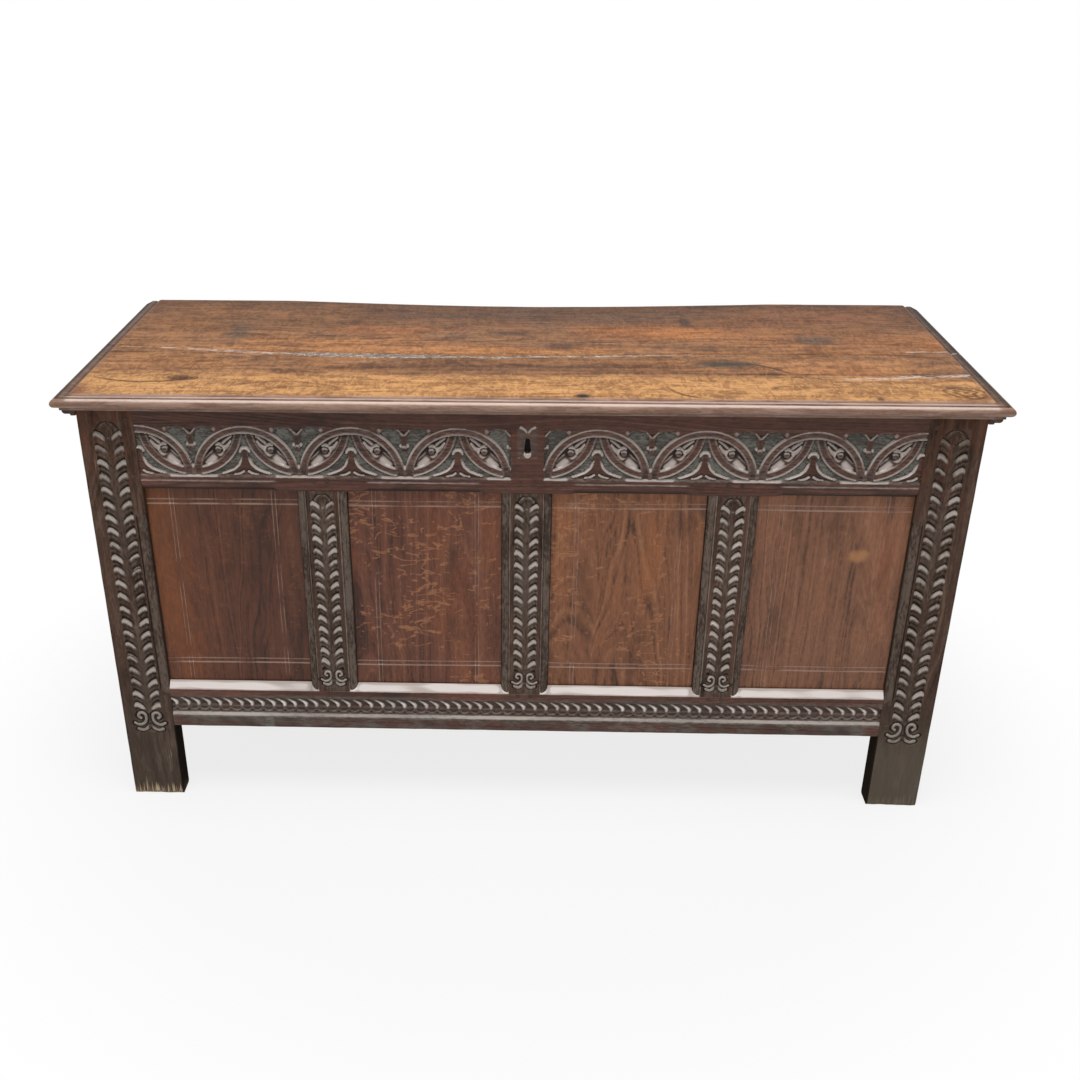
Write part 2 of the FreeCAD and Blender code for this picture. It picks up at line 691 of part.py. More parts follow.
def make_nail(name, size, length, head, rise, base, turn):
    """A square wrought nail: its point along +Z before turning, its rose head below the base."""
    shank = doc.addObject("Part::Box", name + "_shank")
    for path, text in (("Length", size), ("Width", size), ("Height", length),
                       ("Placement.Base.x", f"-{size} / 2"), ("Placement.Base.y", f"-{size} / 2")):
        bind(shank, path, text)
    rose = doc.addObject("Part::Wedge", name + "_rose")
    for path, text in (("Xmin", f"-{head} / 2"), ("Xmax", f"{head} / 2"),
                       ("Zmin", f"-{head} / 2"), ("Zmax", f"{head} / 2"),
                       ("Ymin", "0"), ("Ymax", rise),
                       ("X2min", f"-{head} / 6"), ("X2max", f"{head} / 6"),
                       ("Z2min", f"-{head} / 6"), ("Z2max", f"{head} / 6")):
        bind(rose, path, text)
    rose.Placement = FreeCAD.Placement(Vector(), FreeCAD.Rotation(Vector(1, 0, 0), -90))
    nail = doc.addObject("Part::Fuse", name)
    nail.Base = shank
    nail.Tool = rose
    nail.Placement = FreeCAD.Placement(Vector(), turn)
    for axis, text in zip("xyz", base):
        bind(nail, f"Placement.Base.{axis}", text)
    return nail


def nail_group(label, nails, frame=None):
    group = doc.addObject("Part::Compound", label)
    group.Links = nails
    if frame:
        frame.place(group)
    finish(label, group)


UPWARD = FreeCAD.Rotation()
OUTWARD = FreeCAD.Rotation(Vector(1, 0, 0), 90)


# Floor -------------------------------------------------------------------------------------------

FLOOR_END = "(body_width / 2 - rail_thickness + floor_groove_depth - panel_edge_play)"
FLOOR_PITCH = f"(2 * {FLOOR_END} / {FLOOR_BOARDS})"
FLOOR_FRONT = f"({FRONT_FACE} + rail_thickness - floor_groove_depth + panel_edge_play)"
FLOOR_REAR = f"({REAR_FACE} - floor_rear_inset)"
FLOOR_NAIL_LINE = f"({REAR_FACE} - rail_thickness / 2)"
FLOOR_UNDERSIDE = "(floor_level + floor_play)"
FLOOR_TOP = "(floor_level + floor_play + floor_thickness)"


def floor_nail_places(index):
    corner = "(body_width / 2 - stile_width - floor_nail_corner)"
    left = f"(-{FLOOR_END} + {index - 1} * {FLOOR_PITCH} + floor_nail_inset)"
    right = f"(-{FLOOR_END} + {index} * {FLOOR_PITCH} - floor_nail_inset)"
    return [f"(-{corner})" if index == 1 else left, corner if index == FLOOR_BOARDS else right]


def make_floor_board(index):
    """A board from front to back, half-lapped to its neighbours and notched round a corner stile."""
    label = f"floor_board_{index}"
    left = f"(-{FLOOR_END} + {index - 1} * {FLOOR_PITCH})"
    right = f"(-{FLOOR_END} + {index} * {FLOOR_PITCH})"
    last = index == FLOOR_BOARDS
    half = "(floor_level + floor_play + floor_thickness / 2)"
    body = make_body(label)
    reach = right if last else f"({right} + floor_lap)"
    pad(body, "board", "z", FLOOR_UNDERSIDE, FLOOR_TOP,
        rectangle(left, FLOOR_FRONT, reach, FLOOR_REAR))
    if not last:
        pocket(body, "upper_rebate", "z", half, FLOOR_TOP,
               rectangle(right, FLOOR_FRONT, reach, FLOOR_REAR))
    if index > 1:
        pocket(body, "lower_rebate", "z", FLOOR_UNDERSIDE, half,
               rectangle(left, FLOOR_FRONT, f"{left} + floor_lap", FLOOR_REAR))
    hand = {1: -1, FLOOR_BOARDS: 1}.get(index)
    if hand:
        inner = f"{hand} * (body_width / 2 - stile_width - floor_corner_play)"
        outer = f"{hand} * body_width / 2"
        pocket(body, "corner_notches", "z", FLOOR_UNDERSIDE, FLOOR_TOP,
               rectangle(inner, FLOOR_FRONT, outer,
                         f"{FRONT_FACE} + stile_depth + floor_corner_play"),
               rectangle(inner, f"{REAR_FACE} - stile_depth - floor_corner_play",
                         outer, FLOOR_REAR))
    pocket(body, "nail_holes", "z", FLOOR_UNDERSIDE, FLOOR_TOP,
           *[square_hole(place, FLOOR_NAIL_LINE, "floor_nail_size")
             for place in floor_nail_places(index)])


floor_nails = []
for index in range(1, FLOOR_BOARDS + 1):
    make_floor_board(index)
    for place in floor_nail_places(index):
        floor_nails.append(make_nail("floor_nail", "floor_nail_size", "floor_nail_length",
                                     "floor_nail_head", "floor_nail_rise",
                                     (place, FLOOR_NAIL_LINE, FLOOR_UNDERSIDE), UPWARD))
nail_group("floor_nails", floor_nails)
pocket(rear_bottom_rail, "nail_holes", "z", REAR_RAIL_FOOT, "floor_level + floor_play + floor_nail_length",
       *[square_hole(f"-{place}", "rail_thickness / 2", "floor_nail_size")
         for index in range(1, FLOOR_BOARDS + 1) for place in floor_nail_places(index)])


# Lid ---------------------------------------------------------------------------------------------
# Drawn from its underside upwards and set on top of the stiles.

LID_FRONT = f"(-{LID_DEPTH} / 2)"
LID_REAR = f"({LID_DEPTH} / 2)"
SEAM = f"({LID_FRONT} + lid_front_board_width)"
LID_END = f"({LID_LENGTH} / 2)"
TONGUE_FOOT = "(lid_thickness / 2 - lid_tongue_thickness / 2)"
TONGUE_HEAD = "(lid_thickness / 2 + lid_tongue_thickness / 2)"
CLEAT_INNER = "(body_width / 2 + cleat_gap)"
CLEAT_FOOT = "(cleat_depth - cleat_step_depth)"
CLEAT_FRONT = f"({FRONT_FACE} + cleat_front_set)"
CLEAT_NAIL_LINE = f"({CLEAT_INNER} + cleat_step + (cleat_width - cleat_step - cleat_ogee) / 2)"
CLEAT_NAILS = (f"({CLEAT_FRONT} + cleat_nail_end)", f"({SEAM} - cleat_nail_spread / 2)",
               f"({SEAM} + cleat_nail_spread / 2)", f"({CLEAT_FRONT} + cleat_length - cleat_nail_end)")
HINGES = (("left", "(hinge_inset - body_width / 2)"), ("right", "(body_width / 2 - hinge_inset)"))
HINGE_LINE = f"({REAR_FACE} + hinge_offset)"
CATCH_LINE = f"({FRONT_FACE} + {STAPLE_V})"
CATCH_NAILS = [(f"{side} * (catch_plate_length / 2 - iron_nail_edge)",
                f"({CATCH_LINE} + {row} * (catch_plate_width / 2 - iron_nail_edge))")
               for side in (-1, 1) for row in (-1, 1)]


def set_on_top(item):
    bind(item, "Placement.Base.z", "body_height")


def edge_cutter(place, sense):
    """What the moulding plane takes off an edge of the lid.

    place turns a distance in from the edge into a coordinate; sense is -1 where that distance
    grows with the coordinate and +1 where it falls.
    """
    nose_foot = "(lid_thickness - lid_nose_drop - 2 * lid_nose_radius)"
    shoulder = "lid_nose_radius + lid_nose_undercut"
    quirk_end = "lid_nose_radius + lid_quirk"
    fillet_end = f"{quirk_end} + lid_fillet"
    fillet_top = "lid_thickness - lid_fillet_drop + lid_fillet_rise"
    bow = f"{sense} * lid_nose_radius"
    waste = "lid_nose_radius / 2"
    return [(place(f"-{waste}"), f"-{waste}"), (place(shoulder), f"-{waste}"),
            (place(shoulder), nose_foot), (place("lid_nose_radius"), nose_foot),
            (place("0"), f"{nose_foot} + lid_nose_radius", bow),
            (place("lid_nose_radius"), "lid_thickness - lid_nose_drop", bow),
            (place("lid_nose_radius + lid_quirk / 2"),
             "lid_thickness - lid_nose_drop - lid_quirk_depth"),
            (place(quirk_end), "lid_thickness - lid_fillet_drop"),
            (place(fillet_end), fillet_top),
            (place(f"{fillet_end} + lid_hollow / 2"), f"{fillet_top} - lid_hollow_depth"),
            (place(f"{fillet_end} + lid_hollow"), fillet_top),
            (place("lid_border"), "lid_thickness"),
            (place("lid_border"), f"lid_thickness + {waste}"),
            (place(f"-{waste}"), f"lid_thickness + {waste}")]


def from_left(distance):
    return f"-{LID_END} + ({distance})"


def from_right(distance):
    return f"{LID_END} - ({distance})"


def draw_spine(body, name, corners):
    """An open line of straight runs on the body's XY plane."""
    drawing = start_sketch(body, name, "z", "0")
    points = [Vector(number(across), number(along), 0) for across, along in corners]
    for index, (start, end) in enumerate(zip(points, points[1:])):
        drawing.addGeometry(Part.LineSegment(start, end), False)
        if index:
            drawing.addConstraint(Sketcher.Constraint("Coincident", index - 1, 2, index, 1))
        pin(drawing, "DistanceX", index, 1, corners[index][0])
        pin(drawing, "DistanceY", index, 1, corners[index][1])
    last = len(points) - 2
    pin(drawing, "DistanceX", last, 2, corners[-1][0])
    pin(drawing, "DistanceY", last, 2, corners[-1][1])
    return drawing


def mould_front_board(body):
    """The moulding run round the left end, the front edge and the right end, mitred at the corners."""
    start = f"({SEAM} + 2 * lid_tongue)"
    profile = start_sketch(body, "edge_moulding_sketch", "y", start)
    draw_outline(profile, edge_cutter(from_left, -1))
    spine = draw_spine(body, "edge_moulding_path",
                       [(f"-{LID_END}", start), (f"-{LID_END}", LID_FRONT),
                        (LID_END, LID_FRONT), (LID_END, start)])
    doc.recompute()
    before = body.Shape.Volume
    moulding = body.newObject("PartDesign::SubtractivePipe", "edge_moulding")
    moulding.Profile = profile
    moulding.Spine = (spine, ["Edge1", "Edge2", "Edge3"])
    moulding.Transition = "Right corner"
    doc.recompute()
    if body.Shape.Volume >= before:
        raise RuntimeError("the lid moulding cut nothing")


def cleat_nail_holes(body, lines):
    pocket(body, "cleat_nail_holes", "z", "0", f"cleat_nail_length - {CLEAT_FOOT}",
           *[square_hole(f"{side} * {CLEAT_NAIL_LINE}", line, "cleat_nail_size")
             for side in (-1, 1) for line in lines])


lid_front_board = make_body("lid_front_board")
pad(lid_front_board, "board", "z", "0", "lid_thickness",
    rectangle(f"-{LID_END}", LID_FRONT, LID_END, SEAM))
pad(lid_front_board, "tongue", "z", f"{TONGUE_FOOT} + lid_tongue_play",
    f"{TONGUE_HEAD} - lid_tongue_play",
    rectangle(f"-{LID_END}", SEAM, LID_END, f"{SEAM} + lid_tongue - lid_tongue_play"))
pocket(lid_front_board, "catch_recess", "z", "0", "catch_plate_thickness",
       rectangle("-catch_plate_length / 2", f"{CATCH_LINE} - catch_plate_width / 2",
                 "catch_plate_length / 2", f"{CATCH_LINE} + catch_plate_width / 2"))
pocket(lid_front_board, "catch_nail_holes", "z", "0", "iron_nail_length",
       *[square_hole(across, along, "iron_nail_size") for across, along in CATCH_NAILS])
cleat_nail_holes(lid_front_board, CLEAT_NAILS[:2])
mould_front_board(lid_front_board)
set_on_top(lid_front_board)

lid_rear_board = make_body("lid_rear_board")
pad(lid_rear_board, "board", "z", "0", "lid_thickness",
    rectangle(f"-{LID_END}", SEAM, LID_END, LID_REAR))
pocket(lid_rear_board, "groove", "z", TONGUE_FOOT, TONGUE_HEAD,
       rectangle(f"-{LID_END}", SEAM, LID_END, f"{SEAM} + lid_tongue"))
pocket(lid_rear_board, "left_moulding", "y", SEAM, LID_REAR, edge_cutter(from_left, -1))
pocket(lid_rear_board, "right_moulding", "y", SEAM, LID_REAR, edge_cutter(from_right, 1))
cleat_nail_holes(lid_rear_board, CLEAT_NAILS[2:])
eye_legs = []
clench_beds = []
for hinge, place in HINGES:
    for side in (-1, 1):
        leg = f"({place} + {side} * lid_eye_span / 2)"
        eye_legs.append(square_hole(leg, HINGE_LINE, "hinge_wire + 2 * wire_play"))
        half = "(hinge_wire / 2 + wire_play)"
        clench_beds.append(rectangle(f"{leg} - {half}", f"{HINGE_LINE} - clench_length - {half}",
                                     f"{leg} + {half}", HINGE_LINE))
pocket(lid_rear_board, "eye_holes", "z", "0", "lid_thickness", *eye_legs)
pocket(lid_rear_board, "clench_beds", "z", "lid_thickness - hinge_wire - 2 * wire_play",
       "lid_thickness", *clench_beds)
set_on_top(lid_rear_board)


def make_cleat(label, hand):
    """A moulded batten under one end of the lid, just clear of the stiles."""
    def corner(outward, drop, *radius):
        return (f"{hand} * ({CLEAT_INNER} + {outward})", f"-({drop})", *radius)

    body = make_body(label)
    pad(body, "batten", "y", CLEAT_FRONT, f"{CLEAT_FRONT} + cleat_length",
        [corner("0", "0"), corner("0", "cleat_depth"), corner("cleat_step", "cleat_depth"),
         corner("cleat_step", CLEAT_FOOT), corner("cleat_width - cleat_ogee", CLEAT_FOOT),
         corner("cleat_width", f"{CLEAT_FOOT} - cleat_ogee", f"{hand} * cleat_ogee"),
         corner("cleat_width", "0")])
    pocket(body, "nail_holes", "z", f"-{CLEAT_FOOT}", "0",
           *[square_hole(f"{hand} * {CLEAT_NAIL_LINE}", line, "cleat_nail_size")
             for line in CLEAT_NAILS])
    set_on_top(body)


make_cleat("lid_left_cleat", -1)
make_cleat("lid_right_cleat", 1)
cleat_nails = [make_nail("cleat_nail", "cleat_nail_size", "cleat_nail_length", "cleat_nail_head",
                         "cleat_nail_rise", (f"{side} * {CLEAT_NAIL_LINE}", line, f"-{CLEAT_FOOT}"),
                         UPWARD)
               for side in (-1, 1) for line in CLEAT_NAILS]
nail_group("cleat_nails", cleat_nails)
set_on_top(nodes[-1])


# Wire hinges -------------------------------------------------------------------------------------

WIRE_HALF = "(hinge_wire / 2)"


def hammered_wire(across, up):
    """Wire drawn out under the hammer, so it keeps a few flats."""
    return many_sided(across, up, "hinge_wire", WIRE_SIDES)


def make_lid_eye(hinge, place):
    """A wire staple through the lid: its crossbar is the hinge line, its ends clench on the top."""
    clench = f"(lid_thickness - {WIRE_HALF} - wire_play)"
    legs = [f"({place} + {side} * lid_eye_span / 2)" for side in (-1, 1)]
    body = make_body(f"{hinge}_lid_eye")
    pad(body, "crossbar", "x", f"{legs[0]} - {WIRE_HALF}", f"{legs[1]} + {WIRE_HALF}",
        Disc(HINGE_LINE, "-hinge_drop", "hinge_wire"))
    pad(body, "legs", "z", f"-hinge_drop - {WIRE_HALF}", f"{clench} + {WIRE_HALF}",
        *[hammered_wire(leg, HINGE_LINE) for leg in legs])
    pad(body, "clenched_ends", "y", f"{HINGE_LINE} - clench_length", f"{HINGE_LINE} + {WIRE_HALF}",
        *[hammered_wire(leg, clench) for leg in legs])
    set_on_top(body)


def make_rail_eye(hinge, place):
    """A wire eye round the crossbar, its two legs driven through the rear rail and clenched inside."""
    body = make_body(f"{hinge}_rail_eye")
    section = start_sketch(body, "ring_section", "y", "-hinge_offset")
    draw_outline(section, hammered_wire(place, f"{HINGE_LEVEL} + rail_eye_radius"))
    centre_line = section.addGeometry(Part.LineSegment(Vector(0, 0, 0), Vector(1, 0, 0)), True)
    for point in (1, 2):
        pin(section, "DistanceX", centre_line, point, f"{place} + {point} * rail_eye_radius")
        pin(section, "DistanceY", centre_line, point, HINGE_LEVEL)
    ring = body.newObject("PartDesign::Revolution", "ring")
    ring.Profile = section
    ring.ReferenceAxis = (section, ["Axis0"])
    ring.Angle = 360
    inside = f"(rail_thickness + {WIRE_HALF})"
    legs = [f"({place} + {side} * rail_leg_spread / 2)" for side in (-1, 1)]
    pad(body, "legs", "y", "rail_eye_radius - hinge_offset", f"{inside} + {WIRE_HALF}",
        *[hammered_wire(leg, HINGE_LEVEL) for leg in legs])
    pad(body, "clenched_ends", "x", f"{legs[0]} - rail_clench_length",
        f"{legs[1]} + rail_clench_length", hammered_wire(inside, HINGE_LEVEL))
    REAR.place(body)


for hinge, place in HINGES:
    make_lid_eye(hinge, place)
    make_rail_eye(hinge, f"(-({place}))")
half = f"({WIRE_HALF} + wire_play)"
pocket(rear_top_rail, "eye_holes", "y", "0", "rail_thickness",
       *[rectangle(f"{place} - rail_leg_spread / 2 - {half}", f"{HINGE_LEVEL} - {half}",
                   f"{place} + rail_leg_spread / 2 + {half}", f"{HINGE_LEVEL} + {half}")
         for hinge, place in HINGES])


# Lock and catch ----------------------------------------------------------------------------------

PLATE_TOP = "(body_height - lock_plate_drop)"
PLATE_FOOT = f"({PLATE_TOP} - lock_plate_height)"
CASE_TOP = f"(({PLATE_TOP} + {PLATE_FOOT}) / 2 + lock_case_height / 2)"
CASE_FOOT = f"({CASE_TOP} - lock_case_height)"
CASE_BACK = f"({PLATE_FACE} + lock_case_depth)"
BOLT_FOOT = "(body_height - bolt_drop - bolt_height / 2)"
BOLT_TOP = "(body_height - bolt_drop + bolt_height / 2)"
KEYHOLE_LEVEL = "(body_height - keyhole_drop)"
BOLT_BACK = f"({BOLT_FRONT} + bolt_thickness)"
LOCK_NAILS = [(f"{side} * (lock_plate_width / 2 - iron_nail_edge)", level)
              for side in (-1, 1)
              for level in (f"({PLATE_TOP} - iron_nail_edge)", f"({PLATE_FOOT} + iron_nail_edge)")]
KEYHOLE = [("-keyhole_top_width / 2", f"{KEYHOLE_LEVEL} + keyhole_slot"),
           ("-keyhole_width / 2", KEYHOLE_LEVEL),
           ("0", f"{KEYHOLE_LEVEL} - keyhole_width / 2", "keyhole_width / 2"),
           ("keyhole_width / 2", KEYHOLE_LEVEL, "keyhole_width / 2"),
           ("keyhole_top_width / 2", f"{KEYHOLE_LEVEL} + keyhole_slot")]

pocket(front_top_rail, "keyhole", "y", "0", "rail_thickness", KEYHOLE)
pocket(front_top_rail, "lock_nail_holes", "y", f"{PLATE_FACE} - iron_nail_length", "rail_thickness",
       *[square_hole(across, level, "iron_nail_size") for across, level in LOCK_NAILS])

lock_plate = make_body("lock_plate")
pad(lock_plate, "plate", "y", "rail_thickness", PLATE_FACE,
    rectangle("-lock_plate_width / 2", PLATE_FOOT, "lock_plate_width / 2", PLATE_TOP))
keeper_foot = f"{BOLT_FOOT} - keeper_wall"
keeper_head = f"{BOLT_TOP} + keeper_wall"
pad(lock_plate, "keepers", "y", "rail_thickness", f"{BOLT_BACK} + keeper_wall",
    rectangle("keeper_clearance", keeper_foot, "keeper_clearance + keeper_width", keeper_head),
    rectangle("-keeper_clearance - keeper_width", keeper_foot, "-keeper_clearance", keeper_head),
    rectangle("-tail_keeper_clearance - keeper_width", keeper_foot, "-tail_keeper_clearance",
              keeper_head))
pocket(lock_plate, "bolt_way", "x", "-lock_case_width / 2", "lock_case_width / 2",
       rectangle(f"{BOLT_FRONT} - bolt_play", f"{BOLT_FOOT} - bolt_play",
                 f"{BOLT_BACK} + bolt_play", f"{BOLT_TOP} + bolt_play"))
pocket(lock_plate, "keyhole", "y", "rail_thickness", PLATE_FACE, KEYHOLE)
pocket(lock_plate, "nail_holes", "y", "rail_thickness", PLATE_FACE,
       *[square_hole(across, level, "iron_nail_size") for across, level in LOCK_NAILS])
FRONT.place(lock_plate)

lock_case = make_body("lock_case")
pad(lock_case, "box", "y", PLATE_FACE, CASE_BACK,
    rectangle("-lock_case_width / 2", CASE_FOOT, "lock_case_width / 2", CASE_TOP))
pocket(lock_case, "inside", "y", PLATE_FACE, f"{CASE_BACK} - lock_case_wall",
       rectangle("-lock_case_width / 2 + lock_case_wall", f"{CASE_FOOT} + lock_case_wall",
                 "lock_case_width / 2 - lock_case_wall", f"{CASE_TOP} - lock_case_wall"))
slot_reach = "(staple_eye_width / 2 + staple_bar + staple_eye_play)"
pocket(lock_case, "staple_slot", "z", f"{CASE_TOP} - lock_case_wall", CASE_TOP,
       rectangle("-staple_slot_width / 2", f"{STAPLE_V} - {slot_reach}",
                 "staple_slot_width / 2", f"{STAPLE_V} + {slot_reach}"))
FRONT.place(lock_case)

lock_bolt = make_body("lock_bolt")
pad(lock_bolt, "bar", "x", "-bolt_rest_gap - bolt_length", "-bolt_rest_gap",
    rectangle(BOLT_FRONT, BOLT_FOOT, BOLT_BACK, BOLT_TOP))
talon = "(-keeper_clearance - keeper_width - talon_width)"
pocket(lock_bolt, "talon", "z", BOLT_FOOT, f"{BOLT_FOOT} + talon_depth",
       rectangle(f"{talon} - talon_width / 2", BOLT_FRONT, f"{talon} + talon_width / 2", BOLT_BACK))
FRONT.place(lock_bolt)

lock_spring = make_body("lock_spring")
spring_middle = "(-(keeper_clearance + keeper_width + tail_keeper_clearance) / 2)"
spring_foot = f"({BOLT_TOP} + bolt_play)"
spring_head = f"({CASE_TOP} - lock_case_wall)"
pad(lock_spring, "leaf", "y", f"{STAPLE_V} - spring_width / 2", f"{STAPLE_V} + spring_width / 2",
    [(f"{spring_middle} - spring_span / 2", spring_head),
     (f"{spring_middle} - spring_tip / 2", spring_foot),
     (f"{spring_middle} + spring_tip / 2", spring_foot),
     (f"{spring_middle} + spring_span / 2", spring_head),
     (f"{spring_middle} + spring_span / 2 - spring_root", spring_head),
     (f"{spring_middle} + spring_tip / 2 - spring_thickness / 2", f"{spring_foot} + spring_thickness"),
     (f"{spring_middle} - spring_tip / 2 + spring_thickness / 2", f"{spring_foot} + spring_thickness"),
     (f"{spring_middle} - spring_span / 2 + spring_root", spring_head)])
FRONT.place(lock_spring)

nail_group("lock_nails",
           [make_nail("lock_nail", "iron_nail_size", "iron_nail_length", "iron_nail_head",
                      "iron_nail_rise", (across, PLATE_FACE, level), OUTWARD)
            for across, level in LOCK_NAILS], FRONT)

catch_plate = make_body("catch_plate")
pad(catch_plate, "plate", "z", "0", "catch_plate_thickness",
    rectangle("-catch_plate_length / 2", f"{CATCH_LINE} - catch_plate_width / 2",
              "catch_plate_length / 2", f"{CATCH_LINE} + catch_plate_width / 2"))
pocket(catch_plate, "nail_holes", "z", "0", "catch_plate_thickness",
       *[square_hole(across, along, "iron_nail_size") for across, along in CATCH_NAILS])
foot_holes = [rectangle("-staple_width / 2", f"{CATCH_LINE} + {side} * staple_eye_width / 2",
                        "staple_width / 2",
                        f"{CATCH_LINE} + {side} * (staple_eye_width / 2 + staple_bar)")
              for side in (-1, 1)]
pocket(catch_plate, "staple_holes", "z", "0", "catch_plate_thickness", *foot_holes)
set_on_top(catch_plate)

catch_staple = make_body("catch_staple")
eye_foot = f"({BOLT_FOOT} - staple_eye_play - body_height)"
pad(catch_staple, "loop", "x", "-staple_width / 2", "staple_width / 2",
    rectangle(f"{CATCH_LINE} - staple_eye_width / 2 - staple_bar", f"{eye_foot} - staple_bar",
              f"{CATCH_LINE} + staple_eye_width / 2 + staple_bar", "catch_plate_thickness"))
pocket(catch_staple, "eye", "x", "-staple_width / 2", "staple_width / 2",
       rectangle(f"{CATCH_LINE} - staple_eye_width / 2", eye_foot,
                 f"{CATCH_LINE} + staple_eye_width / 2", "catch_plate_thickness"))
set_on_top(catch_staple)

nail_group("catch_nails",
           [make_nail("catch_nail", "iron_nail_size", "iron_nail_length", "iron_nail_head",
                      "iron_nail_rise", (across, along, "0"), UPWARD)
            for across, along in CATCH_NAILS])
set_on_top(nodes[-1])


# Check and write ---------------------------------------------------------------------------------

doc.recompute()
os.makedirs("parts", exist_ok=True)
faults = [item.Label for item in doc.Objects if "Invalid" in item.State or "Error" in item.State]
faults += [node.Label for node in nodes if node.Shape.isNull() or not node.Shape.isValid()]
if faults:
    raise RuntimeError("not built: " + ", ".join(sorted(set(faults))))
for node in nodes:
    node.Shape.exportStep(f"parts/{node.Label}.step")
print(len(nodes), "pieces written")
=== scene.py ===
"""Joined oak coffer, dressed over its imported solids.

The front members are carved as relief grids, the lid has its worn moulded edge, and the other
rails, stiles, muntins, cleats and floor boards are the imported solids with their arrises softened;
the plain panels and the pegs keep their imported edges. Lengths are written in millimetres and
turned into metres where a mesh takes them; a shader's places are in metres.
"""
import json
import math

import bmesh
import bpy
import numpy as np
from mathutils import Euler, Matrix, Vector


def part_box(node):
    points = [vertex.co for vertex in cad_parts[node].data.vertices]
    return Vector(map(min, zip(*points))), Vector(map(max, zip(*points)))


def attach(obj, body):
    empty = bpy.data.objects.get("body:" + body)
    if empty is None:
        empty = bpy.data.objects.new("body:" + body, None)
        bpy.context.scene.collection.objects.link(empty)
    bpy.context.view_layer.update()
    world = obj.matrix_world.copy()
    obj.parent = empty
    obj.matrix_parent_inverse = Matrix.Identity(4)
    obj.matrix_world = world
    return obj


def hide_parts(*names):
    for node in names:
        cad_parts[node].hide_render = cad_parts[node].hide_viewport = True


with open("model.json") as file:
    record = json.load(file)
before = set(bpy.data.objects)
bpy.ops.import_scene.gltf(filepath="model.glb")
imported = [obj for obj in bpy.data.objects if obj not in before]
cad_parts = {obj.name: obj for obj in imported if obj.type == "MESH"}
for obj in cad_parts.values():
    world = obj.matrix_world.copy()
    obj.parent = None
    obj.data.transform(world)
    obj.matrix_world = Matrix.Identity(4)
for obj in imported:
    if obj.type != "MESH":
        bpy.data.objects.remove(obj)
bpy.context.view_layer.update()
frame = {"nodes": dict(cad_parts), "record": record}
MM = 0.001


def low_high(node):
    """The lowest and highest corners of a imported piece, in millimetres."""
    low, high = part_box(node)
    return [value / MM for value in low], [value / MM for value in high]


# Sizes --------------------------------------------------------------

TOP_LOW, TOP_HIGH = low_high("front_top_rail")
SILL_LOW, SILL_HIGH = low_high("front_bottom_rail")
STILE_LOW, STILE_HIGH = low_high("front_left_stile")
FACE = STILE_LOW[1]
BODY_END, SHOULDER = -STILE_LOW[0], -STILE_HIGH[0]
TOP_RAIL_FOOT, BODY_TOP = TOP_LOW[2], TOP_HIGH[2]
SILL_FOOT, SILL_TOP = SILL_LOW[2], SILL_HIGH[2]
MUNTIN_SPREAD = 307.75
MUNTIN_CENTRES = ((TOP_LOW[0] + TOP_HIGH[0]) / 2 - MUNTIN_SPREAD, 0, MUNTIN_SPREAD)
MUNTIN_HALF, MUNTIN_FACE_HALF, MUNTIN_MOULDING_DEPTH = 38, 25, 10
CHAMFER_RISE, CHAMFER_SET = 12, 10
STILE_MOULDING, STILE_MOULDING_DEPTH, STOP = 16, 9, 14
STILE_MOULDING_FOOT = SILL_TOP - 8
STILE_MOULDING_HEAD = TOP_RAIL_FOOT - 51
SLAB, PANEL_SLAB = 11, 3
DEEPEST = SLAB - 0.6
FAR = 1e4


# Drawing in relief --------------------------------------------------

def step(value, start, end):
    """A smooth rise from 0 at start to 1 at end; it falls where start is the larger."""
    part = np.clip((value - start) / (end - start), 0, 1)
    return part * part * (3 - 2 * part)


def inside(distance, half, soft=1.4):
    """1 where a distance is under half, with a softened edge."""
    return step(np.abs(distance), half + soft / 2, half - soft / 2)


def spot(aside, above, half, soft=1.4):
    """1 in a round spot, with a softened edge."""
    return inside(np.hypot(aside, above), half, soft)


def hump(distance, reach):
    """1 at no distance, falling away like a rounded heap."""
    return np.exp(-(distance / reach) ** 2)


def profile(place, points):
    """The height at a place on a profile drawn through (place, height) points."""
    return np.interp(place, *zip(*points))


def most(*fields):
    """The largest of several fields at each point."""
    return np.max(np.broadcast_arrays(*fields), axis=0)


def lay(depth, mask, level):
    """Brings the surface to a level where the mask is 1."""
    return depth + (level - depth) * mask


def waver(across, up, length, seed):
    """Gentle unevenness of hand work, between about -1 and 1."""
    rng = np.random.RandomState(seed)
    total = np.zeros_like(across)
    for turn in range(5):
        angle = rng.uniform(0, 2 * math.pi)
        pitch = length * rng.uniform(0.6, 1.7)
        phase = rng.uniform(0, 2 * math.pi)
        run = across * math.cos(angle) + up * math.sin(angle)
        total += np.sin(run * 2 * math.pi / pitch + phase)
    return total / 3


def patchy(across, up, length, seed, middle, swing, low=0, high=1):
    """A share that wavers about its middle, kept between low and high."""
    return np.clip(middle + swing * waver(across, up, length, seed), low, high)


def planed(across, up, seed):
    """The slight waves that a plane leaves."""
    return 0.16 * waver(across, up, 45, seed)


def uneven(index, seed, size):
    """A repeatable small error for each numbered motif."""
    table = np.random.RandomState(seed).normal(0, size, 257)
    return table[np.mod(np.round(index).astype(int), len(table))]


